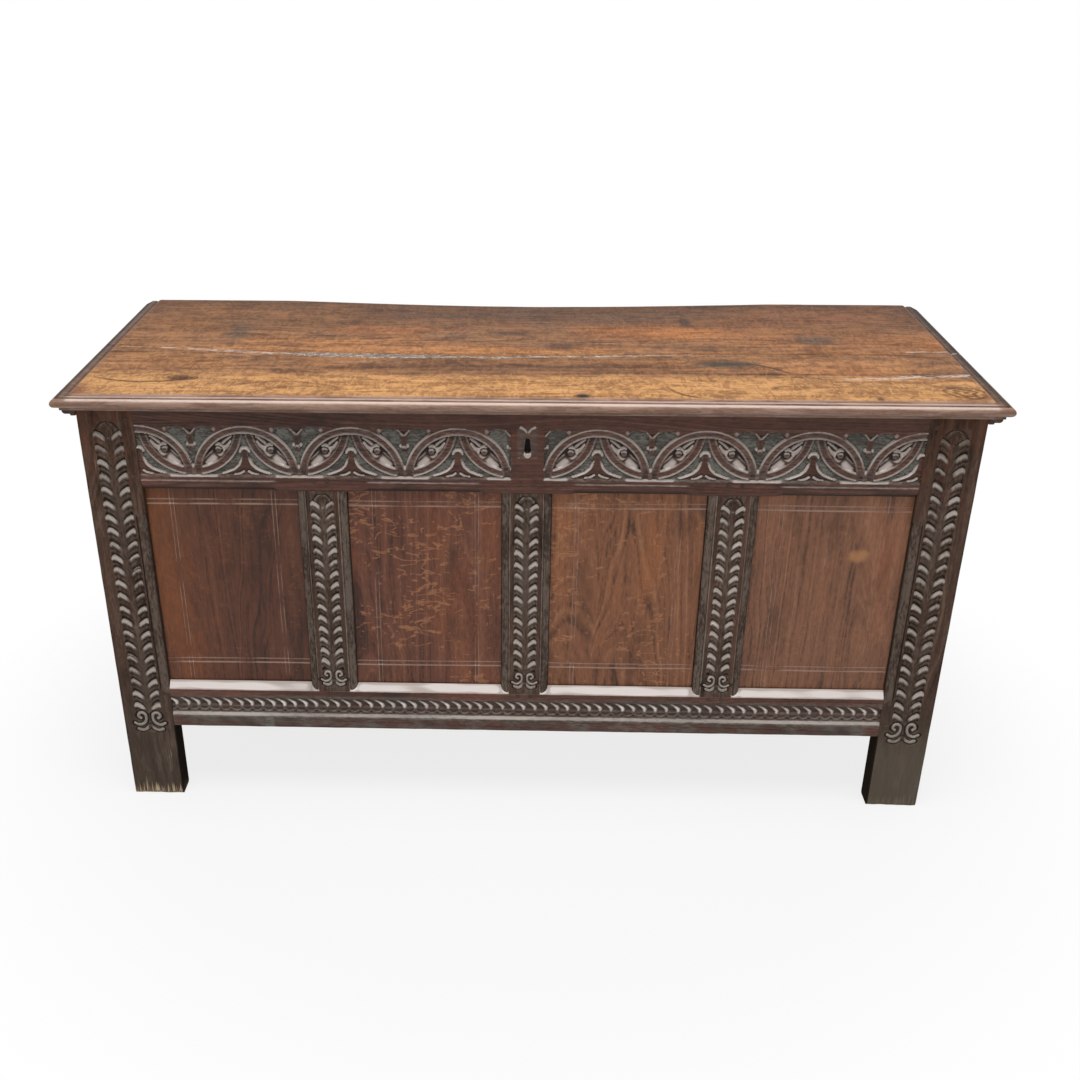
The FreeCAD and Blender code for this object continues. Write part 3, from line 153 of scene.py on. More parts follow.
def stroke(across, up, way, start_half, end_half, soft=1.2):
    """How far a tapering chisel stroke through some points covers each place."""
    way = np.array(way, float)
    ends = np.vstack([2 * way[0] - way[1], way, 2 * way[-1] - way[-2]])
    samples = []
    for a, b, c, d in zip(ends, ends[1:], ends[2:], ends[3:]):
        for t in np.linspace(0, 1, 7)[:-1]:
            samples.append(0.5 * (2 * b + (c - a) * t + (2 * a - 5 * b + 4 * c - d) * t ** 2
                                  + (3 * b - a - 3 * c + d) * t ** 3))
    samples.append(way[-1])
    reach = max(start_half, end_half) + soft
    cover = np.zeros_like(across)
    for place, (x, z) in enumerate(samples):
        half = start_half + (end_half - start_half) * place / (len(samples) - 1)
        near = (np.abs(across - x) < reach) & (np.abs(up - z) < reach)
        gap = np.hypot(across[near] - x, up[near] - z)
        cover[near] = np.maximum(cover[near], inside(gap, half, soft))
    return cover


def moulding(inward, width, depth):
    """A quirk and an ovolo that fall away to a panel; inward runs from the face to the panel."""
    part = np.clip(inward / width, 0, 1)
    ovolo = 1.4 + (depth - 1.4) * (1 - np.sqrt(np.maximum(1 - part ** 2, 0)))
    quirk = 1.3 * inside(inward - 1, 0.9, 0.6)
    return np.where(inward > 0, ovolo + quirk, 0)


def arris(across, up, left, right, foot, head, seed, size=1.3):
    """How far the worn edges of a member fall back."""
    near = np.minimum(np.minimum(across - left, right - across), np.minimum(up - foot, head - up))
    worn = size * (1 + 0.45 * waver(across, up, 60, seed))
    return np.maximum(worn - near, 0) ** 2 / (2.2 * worn)


# The frieze of the top rail -----------------------------------------

FRIEZE_FOOT = 590
ARC, ARC_BAND = 78.8, 12.4
BAND_HALF = ARC_BAND / 2
RIB = BAND_HALF - 1
FRIEZE_HEAD = FRIEZE_FOOT + ARC
PERIOD = 2 * ARC
FIRST_POINT = 23.7
BLOCK = 24.5
GROUND = 4.4
ARC_SECTION = ((0, 1.75), (3, 1.55), (4.3, 0.45), (5.2, 0.2), (6.2, 0.75))
BELL_SECTION = ((591.5, 39), (593, 36), (595.5, 28.5), (600, 18), (606.5, 11),
                (613, 8.2), (619, 4.4), (634, 3.6))
BELL_FOOT = ((4, 600), (12, 596), (32, 592))
ROOT = ((3.5, 596), (9, 592.6), (17.5, 591.2))
LENS_LEAF = ((9, -4.2), (15, -5.4), (24, -4))
LENS_TWIG = ((13, 2), (21, 1.6), (30, 0.4))
BOSS, CURL, KNOB = 7.2, 8.4, 4.9
BEAD = (5.2, 638.8)
BERRY = (42.3, 663.6)
FORK_FOOT, FORK_SLOPE = 655.5, 0.8


def arc_level(distance):
    """The top of an arc band: a rib along each edge and a channel between them."""
    return profile(np.abs(distance), ARC_SECTION)


def lens_eye(from_point, up):
    """The scooped floor of a lens, with its boss and the ridge curled over it: (depth, pale); pale
    is painted highlight on the lit lower side of the scoop and on the leaf, twig, curl and knob.
    """
    aside = from_point - PERIOD / 4
    above = up - (FRIEZE_FOOT + FRIEZE_HEAD) / 2
    along = (aside + above) / math.sqrt(2)
    aloft = (above - aside) / math.sqrt(2)
    depth = 1.4 + 4.4 * step(aloft, -11, 7.5)
    scoop = step(-along, 3, 11)
    hollow = 1.8 + 2.6 * np.clip(1 - ((aloft + 2) / 7.5) ** 2, 0, 1)
    depth = lay(depth, scoop * inside(aloft + 2, 7.5, 2.5), hollow)
    leaf = stroke(along, aloft, LENS_LEAF, 3.2, 1.3)
    twig = stroke(along, aloft, LENS_TWIG, 1.7, 1.1)
    boss = np.hypot(along - 1, aloft)
    curl = inside(boss - CURL, 1.5) * step(along * 0.9 - aloft * 0.45, -3, 1)
    knob = inside(boss, KNOB)
    for mask, level in ((leaf, 1), (twig, 1.8), (inside(boss, BOSS), 5.2), (curl, 0.8),
                        (knob, 1 + 0.05 * boss ** 2), (inside(boss, 1.2, 1), 2.4)):
        depth = lay(depth, mask, level)
    glow = hump(aloft + 3.6, 3.4) * step(-along, 8, 15) * step(along, -33, -25)
    floor = scoop * inside(aloft + 2.5, 5, 3) * step(along, -34, -26)
    lit = (1.15 * glow + 0.4 * floor) * (1 - inside(boss, BOSS + 0.8))
    lit = lit + 0.55 * leaf + 0.3 * twig + 0.35 * curl + 0.12 * knob
    return depth, np.clip(lit, 0, 1.3)


def hanging_flower(aside, up):
    """The flower that hangs from the top line between two arches: (cover, level, pale); pale is
    painted highlight on the beads and the arms.
    """
    out = np.abs(aside)
    half = 3.4 + 17.5 * np.exp(-(FRIEZE_HEAD + 0.6 - up) / 5.6)
    stem = inside(out, half, 1.2) * step(up, 640, 642.5)
    level = 0.4 + 1.1 * step(out / half, 0.85, 0.2)
    fork = out - (up - FORK_FOOT) * FORK_SLOPE
    notch = step(fork, 0.5, -0.9) * step(up, 655, 656.5)
    level = lay(level, notch, 1.2 + 2.4 * step(up, 664, 659))
    beads = spot(out - BEAD[0], up - BEAD[1], 2.2)
    bud = np.maximum(spot(out, (up - 634) * 0.85, 3.9), beads)
    level = lay(level, bud, 0.6)
    arm = inside(fork - 1.2, 1.3) * step(up, 652, 657)
    return np.maximum(stem, bud), level, np.maximum(0.55 * beads, 0.45 * arm)


def rooted_flower(aside, up):
    """The flower that stands on the bottom line under an arch: (cover, level, pale); pale is painted
    highlight on the rim, cap and root.
    """
    out = np.abs(aside)
    bell = profile(up, BELL_SECTION)
    cover = step(out, bell + 0.6, bell - 0.6) * step(up, 591, 592.4) * step(up, 634, 632)
    level = 0.7 + 0.9 * step(out / bell, 0.9, 0.55)
    below = inside(out - 17, 15, 4) * step(up - profile(out, BELL_FOOT), 0.9, -0.5)
    root = stroke(out, up, ROOT, 1.5, 1)
    cap = inside(np.hypot(out, up - 626.5) - 6.9, 1.7) * step(up, 624.5, 627.5)
    level = lay(lay(lay(level, below, 3.4), root, 0.9), cap, 0.5)
    rim = inside(out - bell + 1.4, 1.5) * step(up, 592, 593.5) * step(up, 617, 612)
    return most(cover, cap, root), level, most(0.85 * rim, 0.7 * cap, 0.45 * root)


def frieze(across, up):
    """Interlaced arcs between a stile and the plain block at the lock: (depth, pale, ground); pale
    is painted highlight and wear on the ribs, flowers and lens scoops, and on the lit wall of the
    bottom line.
    """
    run = np.mod(FIRST_POINT - np.abs(across) + 20 * PERIOD, PERIOD)
    from_arch = run - PERIOD / 2
    from_point = np.minimum(run, PERIOD - run)
    arch = np.hypot(from_arch, up - FRIEZE_FOOT)
    bowl = np.hypot(from_point, up - FRIEZE_HEAD)
    arch_side, bowl_side = arch - (ARC - BAND_HALF), bowl - (ARC - BAND_HALF)
    lens = (arch < ARC - ARC_BAND + 1) & (bowl < ARC - ARC_BAND + 1)
    floor, lit = lens_eye(from_point, up)
    depth = np.where(lens, floor, GROUND + 0.45 * waver(across, up, 7, 3))
    pale = np.where(lens, lit, 0)
    ground = np.where(lens, 0, 1)

    above = (arch > ARC - 1.5) & (up > 626)
    below = (bowl > ARC - 1.5) & (up < 634) & (arch < ARC)
    hanging = hanging_flower(np.where(run < PERIOD / 2, run, run - PERIOD), up)
    for place, (cover, level, lit) in ((above, hanging), (below, rooted_flower(from_arch, up))):
        depth = lay(depth, cover * place, level)
        ground = ground * (1 - cover * place)
        pale = np.maximum(pale, lit * place)

    brow = step(np.hypot(from_point - 21, up - 650), 15.6, 17.2) * step(up, 648, 651)
    brow = brow * (arch > ARC - 1) * (from_point > 9)
    depth = lay(depth, brow, 0.6)
    ground = ground * (1 - brow)
    pale = lay(pale, brow, 0.14)
    berry = spot(np.abs(from_arch) - BERRY[0], up - BERRY[1], 2.9) * (arch > ARC)
    spike = inside(from_point, 1.7, 1.2) * step(up, 592, 596) * step(up, 608, 604)
    depth = lay(lay(depth, berry, 0.9), spike * (arch > ARC - 1), 0.9)
    pale = most(pale, 0.5 * berry, 0.9 * spike)

    bowl_band = inside(bowl_side, BAND_HALF, 1.1) * (up < FRIEZE_HEAD)
    depth = lay(depth, bowl_band, arc_level(bowl_side) + 1.9 * step(up, 634, 656))
    rib = inside(bowl_side - RIB, 0.9) * step(up, 645, 615)
    pale = lay(pale, bowl_band, 0.45 * rib + 0.18)
    arch_band = inside(arch_side, BAND_HALF, 1.1) * (up > FRIEZE_FOOT)
    depth = lay(depth, arch_band, arc_level(arch_side) + 1.9 * step(up, 614, 597))
    ribs = np.maximum(inside(arch_side - RIB, 0.9) * step(up, 606, 636),
                      0.5 * inside(arch_side + RIB, 0.8) * step(up, 616, 640))
    # worn makes the painted highlight on the arch ribs and the bottom line come and go.
    worn = patchy(across, up, 60, 5, 0.75, 0.5)
    pale = lay(pale, arch_band, 0.55 * ribs * worn + 0.22)

    head = step(up, FRIEZE_HEAD - 0.6, FRIEZE_HEAD + 0.8)
    bay = step(from_point, 32, 38)
    foot = step(up, FRIEZE_FOOT + 0.4 + 6 * bay, FRIEZE_FOOT - 2.2 - 3 * bay)
    block = step(np.abs(across), BLOCK + 0.7, BLOCK - 0.7)
    flat = most(head, foot, block)
    line = inside(up - (FRIEZE_FOOT - 0.8), 1.5) * (1 - bay) * (1 - block)
    pale = np.maximum(pale * (1 - flat), 0.5 * line * worn)
    ground = ground * (1 - most(bowl_band, arch_band, flat))
    return lay(depth, flat, 0), pale, ground


# Lobed columns of the stiles and muntins ----------------------------

# Down one pitch: a lit brow, its hollow, a lesser lobe, then the deep cut.
LOBE_SECTION = ((0, 4.6), (0.1, 1.6), (0.2, 0.1), (0.32, 0.4), (0.46, 2.6), (0.56, 3.2),
                (0.66, 2.2), (0.76, 2.4), (0.9, 4.4), (1, 4.6))
# Of a column's lobes: half its width, the pitch, its head and its foot.
STILE_LOBES, MUNTIN_LOBES = (21.5, 22.7, 673, 166), (17.6, 19.8, 561, 249)
STILE_COLUMN = BODY_END - 42
STILE_HOOK = ((14.5, 152.5), (18, 156.5), (15.5, 162), (10, 162.8), (5.6, 158),
              (6, 149), (10.5, 142), (18, 139.5), (25, 143))
STILE_LEAF = ((0.5, 138.5), (6, 132), (13, 128.8), (20.5, 131))
MUNTIN_HOOK = ((10.5, 240.5), (13.5, 243), (11.5, 247.5), (7.5, 248), (4.2, 244),
               (4.4, 237.5), (8, 232), (14, 230.5), (19.5, 233.5))
MUNTIN_LEAF = ((2, 231), (5.5, 225.5), (10.5, 223), (16, 225.5))


def column(aside, up, lobes, seed):
    """Two files of down-turned lobes beside a stem, below an arched head: (depth, pale); pale is a
    painted highlight along each lobe's brow.
    """
    half, pitch, head, foot = lobes
    out = np.abs(aside)
    part = np.clip((half - out) / (half - 1.5), 0, 1)
    brow = 0.62 * pitch * part ** 1.7 + 1.6 * step(part, 0.22, 0)
    first = head - 0.62 * half
    way = (first - up - brow) / pitch
    number = np.floor(way) + np.where(aside < 0, 0, 7)
    way = way + uneven(number, seed, 0.035)
    phase = way - np.floor(way)
    depth = profile(phase, LOBE_SECTION) * (1 + uneven(number, seed + 1, 0.1))
    depth = lay(depth, step(part, 0.55, 1), 1.4 + 1.4 * np.abs(phase - 0.3))
    depth = lay(depth, inside(out, 1.3, 1.2), 0.9)
    over_head = step(way, 0, -0.16)
    depth = lay(depth, over_head, 2.9)
    bud = stroke(out, up, [(0, first + 0.46 * half), (0.34 * half, first + 0.3 * half),
                           (0.58 * half, first - 0.02 * half)], 2.6, 1.8)
    depth = lay(depth, bud * over_head, 0.9)
    dome = np.hypot(out, (up - (head - half)) * 0.95)
    edge = np.where(up > head - half, dome - half, out - half)
    scallop = 0.6 * np.sin(2 * math.pi * phase)
    plain = np.maximum(step(edge, -0.9 + scallop, 0.9 + scallop), step(up, foot + 0.7, foot - 0.7))
    shine = np.clip(0.44 + uneven(number, seed + 2, 0.18), 0.05, 1)
    lit = shine * hump(phase - 0.2, 0.13) + 0.1 * hump(phase - 0.45, 0.25)
    lit = lit * step(part, 0.95, 0.65) * (1 - over_head)
    return lay(depth, plain, 0), lit * (1 - plain)


def volute(depth, aside, up, hook, leaf, hook_half, leaf_half):
    """A pair of hooks curled outwards at a column's foot, over two leaves: (depth, pale); pale is
    painted highlight on the hooks and leaves, taken down around them.
    """
    out = np.abs(aside)

    def pair(hook_start, hook_end, leaf_start, leaf_end, soft):
        return (stroke(out, up, hook, hook_start, hook_end, soft),
                stroke(out, up, leaf, leaf_start, leaf_end, soft))

    trough = most(*pair(2.1 * hook_half, 1.8 * hook_half, 1.5 * leaf_half, 1.5 * leaf_half, 1.6))
    around = most(*pair(2.1 * hook_half + 2.2, 1.8 * hook_half + 2.2,
                        1.5 * leaf_half + 2.6, 1.5 * leaf_half + 2.6, 1.6))
    curl, petal = pair(hook_half, hook_half, 0.9 * leaf_half, leaf_half, 2)
    depth = lay(lay(lay(depth, trough, 3), petal, 0.8), curl, 0.3)
    ridge = np.maximum(curl, petal) * step(out, 1, 4)
    return depth, 1.3 * ridge - 0.85 * np.maximum(around, trough)


# The gouged band of the bottom rail ---------------------------------

NULL_PITCH = 17.8
NULL_HEAD, NULL_FOOT, FILLET_FOOT = 197, 168.5, 158.5
NULL_GROUND = ((168, 1), (173, 1.6), (179, 2), (184, 4), (196, 2.8))
STAIN_PLACE = -418


def nulling(across, up):
    """Comma-shaped flutes whose ridges start thin at the upper left: (depth, pale, tint); pale is
    painted highlight on the ridges, with a pale band along the fillet.
    """
    lean = -17 * np.clip((up - 184.5) / 12, 0, 1.2) ** 1.5
    way = (across - lean + 0.8 * np.sin(across / 71)) / NULL_PITCH
    number = np.round(way)
    gap = (way - number + uneven(number, 11, 0.03)) * NULL_PITCH
    ridge = hump(gap, 1.9 + 1.6 * hump(up - 185, 4.5)) * step(up, 174, 183)
    depth = lay(profile(up, NULL_GROUND), ridge, 0.3)
    bowl = np.hypot(np.abs(np.abs(gap) - NULL_PITCH / 2), (up - 179) * 0.9)
    depth = lay(depth, inside(bowl, 6.6, 1.6) * (up < 178), 3.2)
    notch = inside(gap, 1.8, 1) * inside(up - (NULL_FOOT + 2), 2, 1)
    depth = lay(lay(depth, notch, 3.6), step(up, NULL_HEAD - 2.2, NULL_HEAD), 0)
    slope = 2.6 * step(up, FILLET_FOOT + 0.6, NULL_FOOT + 1.5)
    foot = step(up, NULL_FOOT + 1.6, NULL_FOOT - 0.8)
    blob = hump(gap - 0.4, 2.5) * inside(up - 185.5, 4.4, 4.5)
    comma = 0.45 * hump(gap - 0.8, 2.8) * step(up, 186, 190)
    body = 0.1 * inside(gap, 4.5, 2.5) * inside(up - 176, 6, 3)
    lit = 1.5 * blob + comma + body - 0.15 * (1 - ridge)
    lit = lit * (1 - foot) * (0.85 + uneven(number, 12, 0.16))
    lit = lit * step(up, NULL_HEAD - 1, NULL_HEAD - 2.6)
    worn = 0.8 + 0.25 * waver(across, up, 120, 13)
    fillet = 0.66 * worn * inside(up - (FILLET_FOOT + 5.6), 3, 2)
    stain = patchy(across, up * 4, 60, 14, 0.26, 0.35, 0.1, 0.5)
    stain = np.maximum(stain, 0.8 * inside(across - STAIN_PLACE, 8, 9))
    grey = np.where(up < FILLET_FOOT, stain, 0.8)
    grey = np.where(up < NULL_FOOT, grey, 0.4 * step(up, 204, 199))
    return lay(depth, foot, slope), lit + fillet, grey


# Relief slabs and pieces --------------------------------------------

# Values that each corner of a mesh hands to its shader.
LAYERS = ("sunk", "edge", "rim", "filler", "seed")


def lines(*spans):
    """Grid lines from spans of (start, end, spacing) that follow one another."""
    places = [np.linspace(start, end, max(1, round((end - start) / spacing)), endpoint=False)
              for start, end, spacing in spans]
    return np.append(np.concatenate(places), spans[-1][1])


def softened(values, reach):
    """A moving average over a grid, the same number of cells each way."""
    width = 2 * reach + 1
    for turn in range(2):
        total = np.cumsum(np.pad(values, [(reach + 1, reach), (0, 0)], mode="edge"), axis=0)
        values = ((total[width:] - total[:-width]) / width).T
    return values


def fill_grid(bm, x, y, z, fields):
    """Adds a grid whose corners lie at x, y, z and carry the fields in their layers."""
    rows, columns = x.shape
    made = bmesh.ops.create_grid(bm, x_segments=columns - 1, y_segments=rows - 1, size=1)
    layers = [bm.verts.layers.float[name] for name in LAYERS]
    places = np.stack([x, y, z], axis=2).reshape(-1, 3) * MM
    for vert, place, values in zip(made["verts"], places, zip(*(field.flat for field in fields))):
        vert.co = place
        for layer, value in zip(layers, values):
            vert[layer] = value


def relief_slab(bm, across, up, depth, pale, lift=0, tint=0, rub=0.6, slab=SLAB, face=FACE):
    """Fills a new bm with a closed slab whose front is a grid cut back by depth.

    Pale marks worn places and painted highlights, and tint the ones that have a colour of their own.
    """
    tint = np.zeros_like(depth) + tint
    high = softened(softened(depth, 2), 1) - depth
    # Places that face up get a painted highlight, ridges a little more, and pale adds its own
    # painted highlights and wear.
    ledge_highlight = np.gradient(depth, up, axis=0)
    rubbed = rub * np.clip(ledge_highlight - 0.12, 0, 1.3) + 0.16 * np.clip(high, 0, 1) + pale
    # Sunk paints shade, with some dirt, into deep places and creases, and less where highlit.
    sunk = depth / 5 + 0.45 * np.clip(-high, 0, 1) - 0.8 * np.clip(rubbed, 0, 1)
    x, z = np.meshgrid(across, up)
    fill_grid(bm, x, face + depth, z + lift, (sunk - 0.75 * tint, rubbed, tint))
    rim = [edge for edge in bm.edges if edge.is_boundary]
    made = bmesh.ops.extrude_edge_only(bm, edges=rim)["geom"]
    for vert in made:
        if isinstance(vert, bmesh.types.BMVert):
            vert.co.y = (face + slab) * MM
            vert[bm.verts.layers.float["sunk"]] = 0.6
            vert[bm.verts.layers.float["edge"]] = 0
    back = [edge for edge in made if isinstance(edge, bmesh.types.BMEdge) and edge.is_boundary]
    bmesh.ops.contextual_create(bm, geom=back)


def with_layers(bm):
    for name in LAYERS:
        bm.verts.layers.float.new(name)
    return bm


def mesh_of(name, bm):
    """Turns a bmesh into a mesh."""
    mesh = bpy.data.meshes.new(name)
    bm.to_mesh(mesh)
    bm.free()
    return mesh


def put(name, data):
    """Puts an object with this data in the scene."""
    made = bpy.data.objects.new(name, data)
    bpy.context.scene.collection.objects.link(made)
    return made


# Only arrises that turn by this much and are this long get taken off.
SHARP_TURN, LONG_ARRIS = 35, 14


def add_packed(bm, node, behind=None, soft=0):
    """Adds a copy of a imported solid, merged, without what lies in front of behind."""
    part = bmesh.new()
    part.from_mesh(frame["nodes"][node].data)
    with_layers(part)
    bmesh.ops.remove_doubles(part, verts=part.verts, dist=1e-6)
    bmesh.ops.dissolve_limit(part, angle_limit=math.radians(0.5), verts=part.verts,
                             edges=part.edges)
    if behind is not None:
        cut = bmesh.ops.bisect_plane(part, geom=part.verts[:] + part.edges[:] + part.faces[:],
                                     plane_co=(0, behind * MM, 0), plane_no=(0, 1, 0),
                                     clear_inner=True)
        rim = [item for item in cut["geom_cut"] if isinstance(item, bmesh.types.BMEdge)]
        bmesh.ops.triangle_fill(part, use_beauty=True, edges=rim)
    if soft:
        sharp = [edge for edge in part.edges if len(edge.link_faces) == 2
                 and edge.calc_face_angle() > math.radians(SHARP_TURN)
                 and edge.calc_length() > LONG_ARRIS * MM]
        bmesh.ops.bevel(part, geom=sharp, offset=soft * MM, segments=2, profile=0.5,
                        affect="EDGES", material=-1, clamp_overlap=True)
    kept = mesh_of("part", part)
    bm.from_mesh(kept)
    bpy.data.meshes.remove(kept)


GOLDEN_SHARE = 0.618034
seeds = {}


def finish_piece(name, bm, body, nodes, material, smooth=40):
    """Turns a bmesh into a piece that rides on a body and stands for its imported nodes.

    Each piece has a seed of its own, so that no two boards show the same grain.
    """
    seed = seeds.setdefault(name, (len(seeds) * GOLDEN_SHARE) % 1)
    for vert in bm.verts:
        vert[bm.verts.layers.float["seed"]] = seed
    bmesh.ops.recalc_face_normals(bm, faces=bm.faces)
    mesh = mesh_of(name, bm)
    mesh.polygons.foreach_set("use_smooth", [True] * len(mesh.polygons))
    mesh.set_sharp_from_angle(angle=math.radians(smooth))
    mesh.materials.append(material)
    piece = put(name, mesh)
    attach(piece, body)
    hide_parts(*nodes)


# Shader sums --------------------------------------------------------

def worked(operation, swapped=False):
    """A wire's own way to do a sum; swapped where the wire comes second."""
    def work(*terms):
        return maths(operation, *(terms[::-1] if swapped else terms))
    return work


class Wire:
    """A shader socket that can be used in sums."""

    def __init__(self, finish, socket):
        self.finish = finish
        self.socket = socket

    __add__, __sub__, __rsub__ = worked("ADD"), worked("SUBTRACT"), worked("SUBTRACT", True)
    __mul__, __truediv__ = worked("MULTIPLY"), worked("DIVIDE")
    __pow__, __abs__ = worked("POWER"), worked("ABSOLUTE")


class Finish:
    """A material or world, and the nodes that make it."""

    def __init__(self, owner):
        owner.use_nodes = True
        self.owner = owner
        self.tree = owner.node_tree
        self.tree.nodes.clear()

    def node(self, kind, settings=None, inputs=None, output=0):
        """Adds a node: its settings first, then the values or links of its sockets."""
        made = self.tree.nodes.new(kind)
        for name, value in (settings or {}).items():
            setattr(made, name, value)
        for name, value in (inputs or {}).items():
            if isinstance(value, Wire):
                self.tree.links.new(value.socket, made.inputs[name])
            else:
                made.inputs[name].default_value = value
        return Wire(self, made.outputs[output])

    def place(self):
        """A point on the piece, in metres: (as one wire, x, y, z)."""
        place = self.node("ShaderNodeTexCoord", output="Object")
        return place, *(self.node("ShaderNodeSeparateXYZ", {}, {0: place}, axis)
                        for axis in range(3))

    def attribute(self, name):
        return self.node("ShaderNodeAttribute", {"attribute_name": name}, output="Fac")

    def surface(self, inputs, height, strength, distance):
        """Puts a waxed or bare surface with its bumps on the owner."""
        bump = {"Strength": strength, "Distance": distance, "Height": height}
        normal = self.node("ShaderNodeBump", {}, bump)
        return self.show(self.node("ShaderNodeBsdfPrincipled", {}, {**inputs, "Normal": normal}))

    def show(self, wire, output="ShaderNodeOutputMaterial"):
        self.tree.links.new(wire.socket, self.tree.nodes.new(output).inputs[0])
        return self.owner


def joined(kind, settings, inputs, output=0):
    """Adds a node to the tree that its wires come from."""
    finish = next(value.finish for value in inputs.values() if isinstance(value, Wire))
    return finish.node(kind, settings, inputs, output)


def maths(operation, *terms):
    return joined("ShaderNodeMath", {"operation": operation}, dict(enumerate(terms)))


def as_light(tone):
    """Turns red, green and blue on the 0 to 255 scale into light; light and wires stay."""
    if isinstance(tone, Wire) or len(tone) == 4:
        return tone
    part = [value / 255 for value in tone]
    return tuple(v / 12.92 if v <= 0.04045 else ((v + 0.055) / 1.055) ** 2.4
                 for v in part) + (1,)


# The places of a mix node's colour sockets.
FACTOR, UNDER, OVER, RESULT = 0, 6, 7, 2


def mix(factor, under, over, blend="MIX"):
    """One colour over another."""
    settings = {"data_type": "RGBA", "blend_type": blend, "clamp_factor": True}
    inputs = {FACTOR: factor, UNDER: as_light(under), OVER: as_light(over)}
    return joined("ShaderNodeMix", settings, inputs, RESULT)


def ramp(value, low, high):
    """0 below low, 1 above high, with soft ends; runs backwards where low is the larger."""
    inputs = {"Value": value, "From Min": low, "From Max": high}
    return joined("ShaderNodeMapRange", {"interpolation_type": "SMOOTHSTEP"}, inputs)


def noise(place, scale, detail, roughness, distortion=0):
    """Cloudy noise; a scale of three numbers draws it out along an axis."""
    if isinstance(scale, tuple):
        place = joined("ShaderNodeVectorMath", {"operation": "MULTIPLY"}, {0: place, 1: scale})
        scale = 1
    return joined("ShaderNodeTexNoise", {}, {
        "Vector": place, "Scale": scale, "Detail": detail, "Roughness": roughness,
        "Distortion": distortion})


def stained(colour, tone, share, field, low, high):
    """A colour with a share of another tone where a field passes from low to high."""
    return mix(ramp(field, low, high) * share, colour, tone)


def between(value, start, end, soft):
    """1 from start to end, with soft ends."""
    return ramp(value, start - soft, start + soft) * ramp(value, end + soft, end - soft)


# Finishes -----------------------------------------------------------

# Tones for carved places: painted shade with dirt in the hollows, wear with painted highlight on
# edges, a near-white painted highlight, and the black painted into the keyhole as its shade.
HOLLOW_SHADE_AND_GRIME, WORN_AND_HIGHLIGHT, PAINTED_HIGHLIGHT = (36, 29, 25), (204, 192, 183), (244, 234, 230)
POST_HOLLOW_SHADE_AND_GRIME, POST_WORN_AND_HIGHLIGHT = (42, 35, 31), (190, 181, 172)
LID_HOLLOW_SHADE_AND_GRIME, LID_WORN_AND_HIGHLIGHT = (38, 29, 24), (220, 200, 190)
FLOOR_HOLLOW_SHADE_AND_GRIME, PANEL_WORN_AND_HIGHLIGHT, FLECK = (60, 48, 40), (164, 134, 118), (182, 126, 88)
HOLE_SHADE_BLACK = (8, 7, 7)
GROUND_TINT = ((76, 74, 68), (124, 123, 115))
MOULDING_TINT = ((74, 63, 56), (116, 103, 93))
# Palettes: the dark, middle, light and warm tones of a board.
RAIL_TONES = ((50, 32, 26), (90, 58, 47), (116, 82, 68), (122, 70, 54))
POST_TONES = ((48, 38, 33), (88, 69, 59), (114, 94, 82), (106, 74, 60))
END_TONES = ((44, 32, 26), (82, 60, 48), (106, 80, 66), (100, 66, 50))
PANEL_TONES = (((54, 34, 26), (96, 58, 42), (118, 76, 54), (142, 78, 40)),
               ((60, 38, 29), (108, 66, 50), (134, 88, 66), (140, 80, 50)),
               ((72, 47, 34), (134, 87, 61), (160, 112, 80), (170, 104, 60)),
               ((76, 52, 39), (134, 91, 68), (160, 115, 88), (166, 100, 66)))
PANEL_FLECKS = (0.1, 0.56, 0.62, 0.14)
LID_TONES = ((88, 58, 36), (142, 98, 62), (168, 120, 78), (164, 106, 62))
FLOOR_TONES = ((112, 86, 64), (146, 114, 86), (172, 138, 106), (160, 116, 78))
PEG_TONES = ((50, 36, 30), (76, 54, 44), (98, 74, 62), (96, 64, 50))


def oak_figure(finish, along, ring, slab_cut):
    """The figure of an oak board: (growth bands, pores, ray flecks, the grain's own places)."""
    place, x, y, z = finish.place()
    length, width, depth = {"x": (x, y, z), "y": (y, x, z), "z": (z, x, y)}[along]
    seed = finish.attribute("seed")
    length, width, depth = length + seed * 7.3, width + seed * 3.7, depth + seed * 5.1
    grain = finish.node("ShaderNodeCombineXYZ", {}, {0: length, 1: width, 2: depth})
    sway = noise(grain, (1.1, 4.5, 4.5), 3, 0.5)
    swirl = noise(grain, (6, 22, 22), 2, 0.5)
    pith_aside = maths("PINGPONG", width + sway * 0.1, 0.16) - 0.05
    pith_below = maths("PINGPONG", depth + sway * 0.06, 0.05) + slab_cut
    radius = maths("SQRT", pith_aside ** 2 + pith_below ** 2) + swirl * 0.004 + length * 0.012
    inputs = {"W": radius * (1000 / ring / 3), "Scale": 3, "Detail": 2, "Roughness": 0.6}
    bands = finish.node("ShaderNodeTexNoise", {"noise_dimensions": "1D"}, inputs)
    pores = ramp(noise(grain, (14, 900, 900), 2, 0.6), 0.56, 0.7)
    ripple = noise(grain, (52, 24, 60), 2, 0.55, 0.8)
    broken = noise(grain, (130, 70, 40), 2, 0.5)
    group = noise(grain, (9, 11, 18), 2, 0.5)
    fleck = ramp(abs(ripple - 0.5), 0.045, 0.012) * ramp(broken + (group - 0.5) * 0.9, 0.56, 0.65)
    return bands, pores, fleck, grain


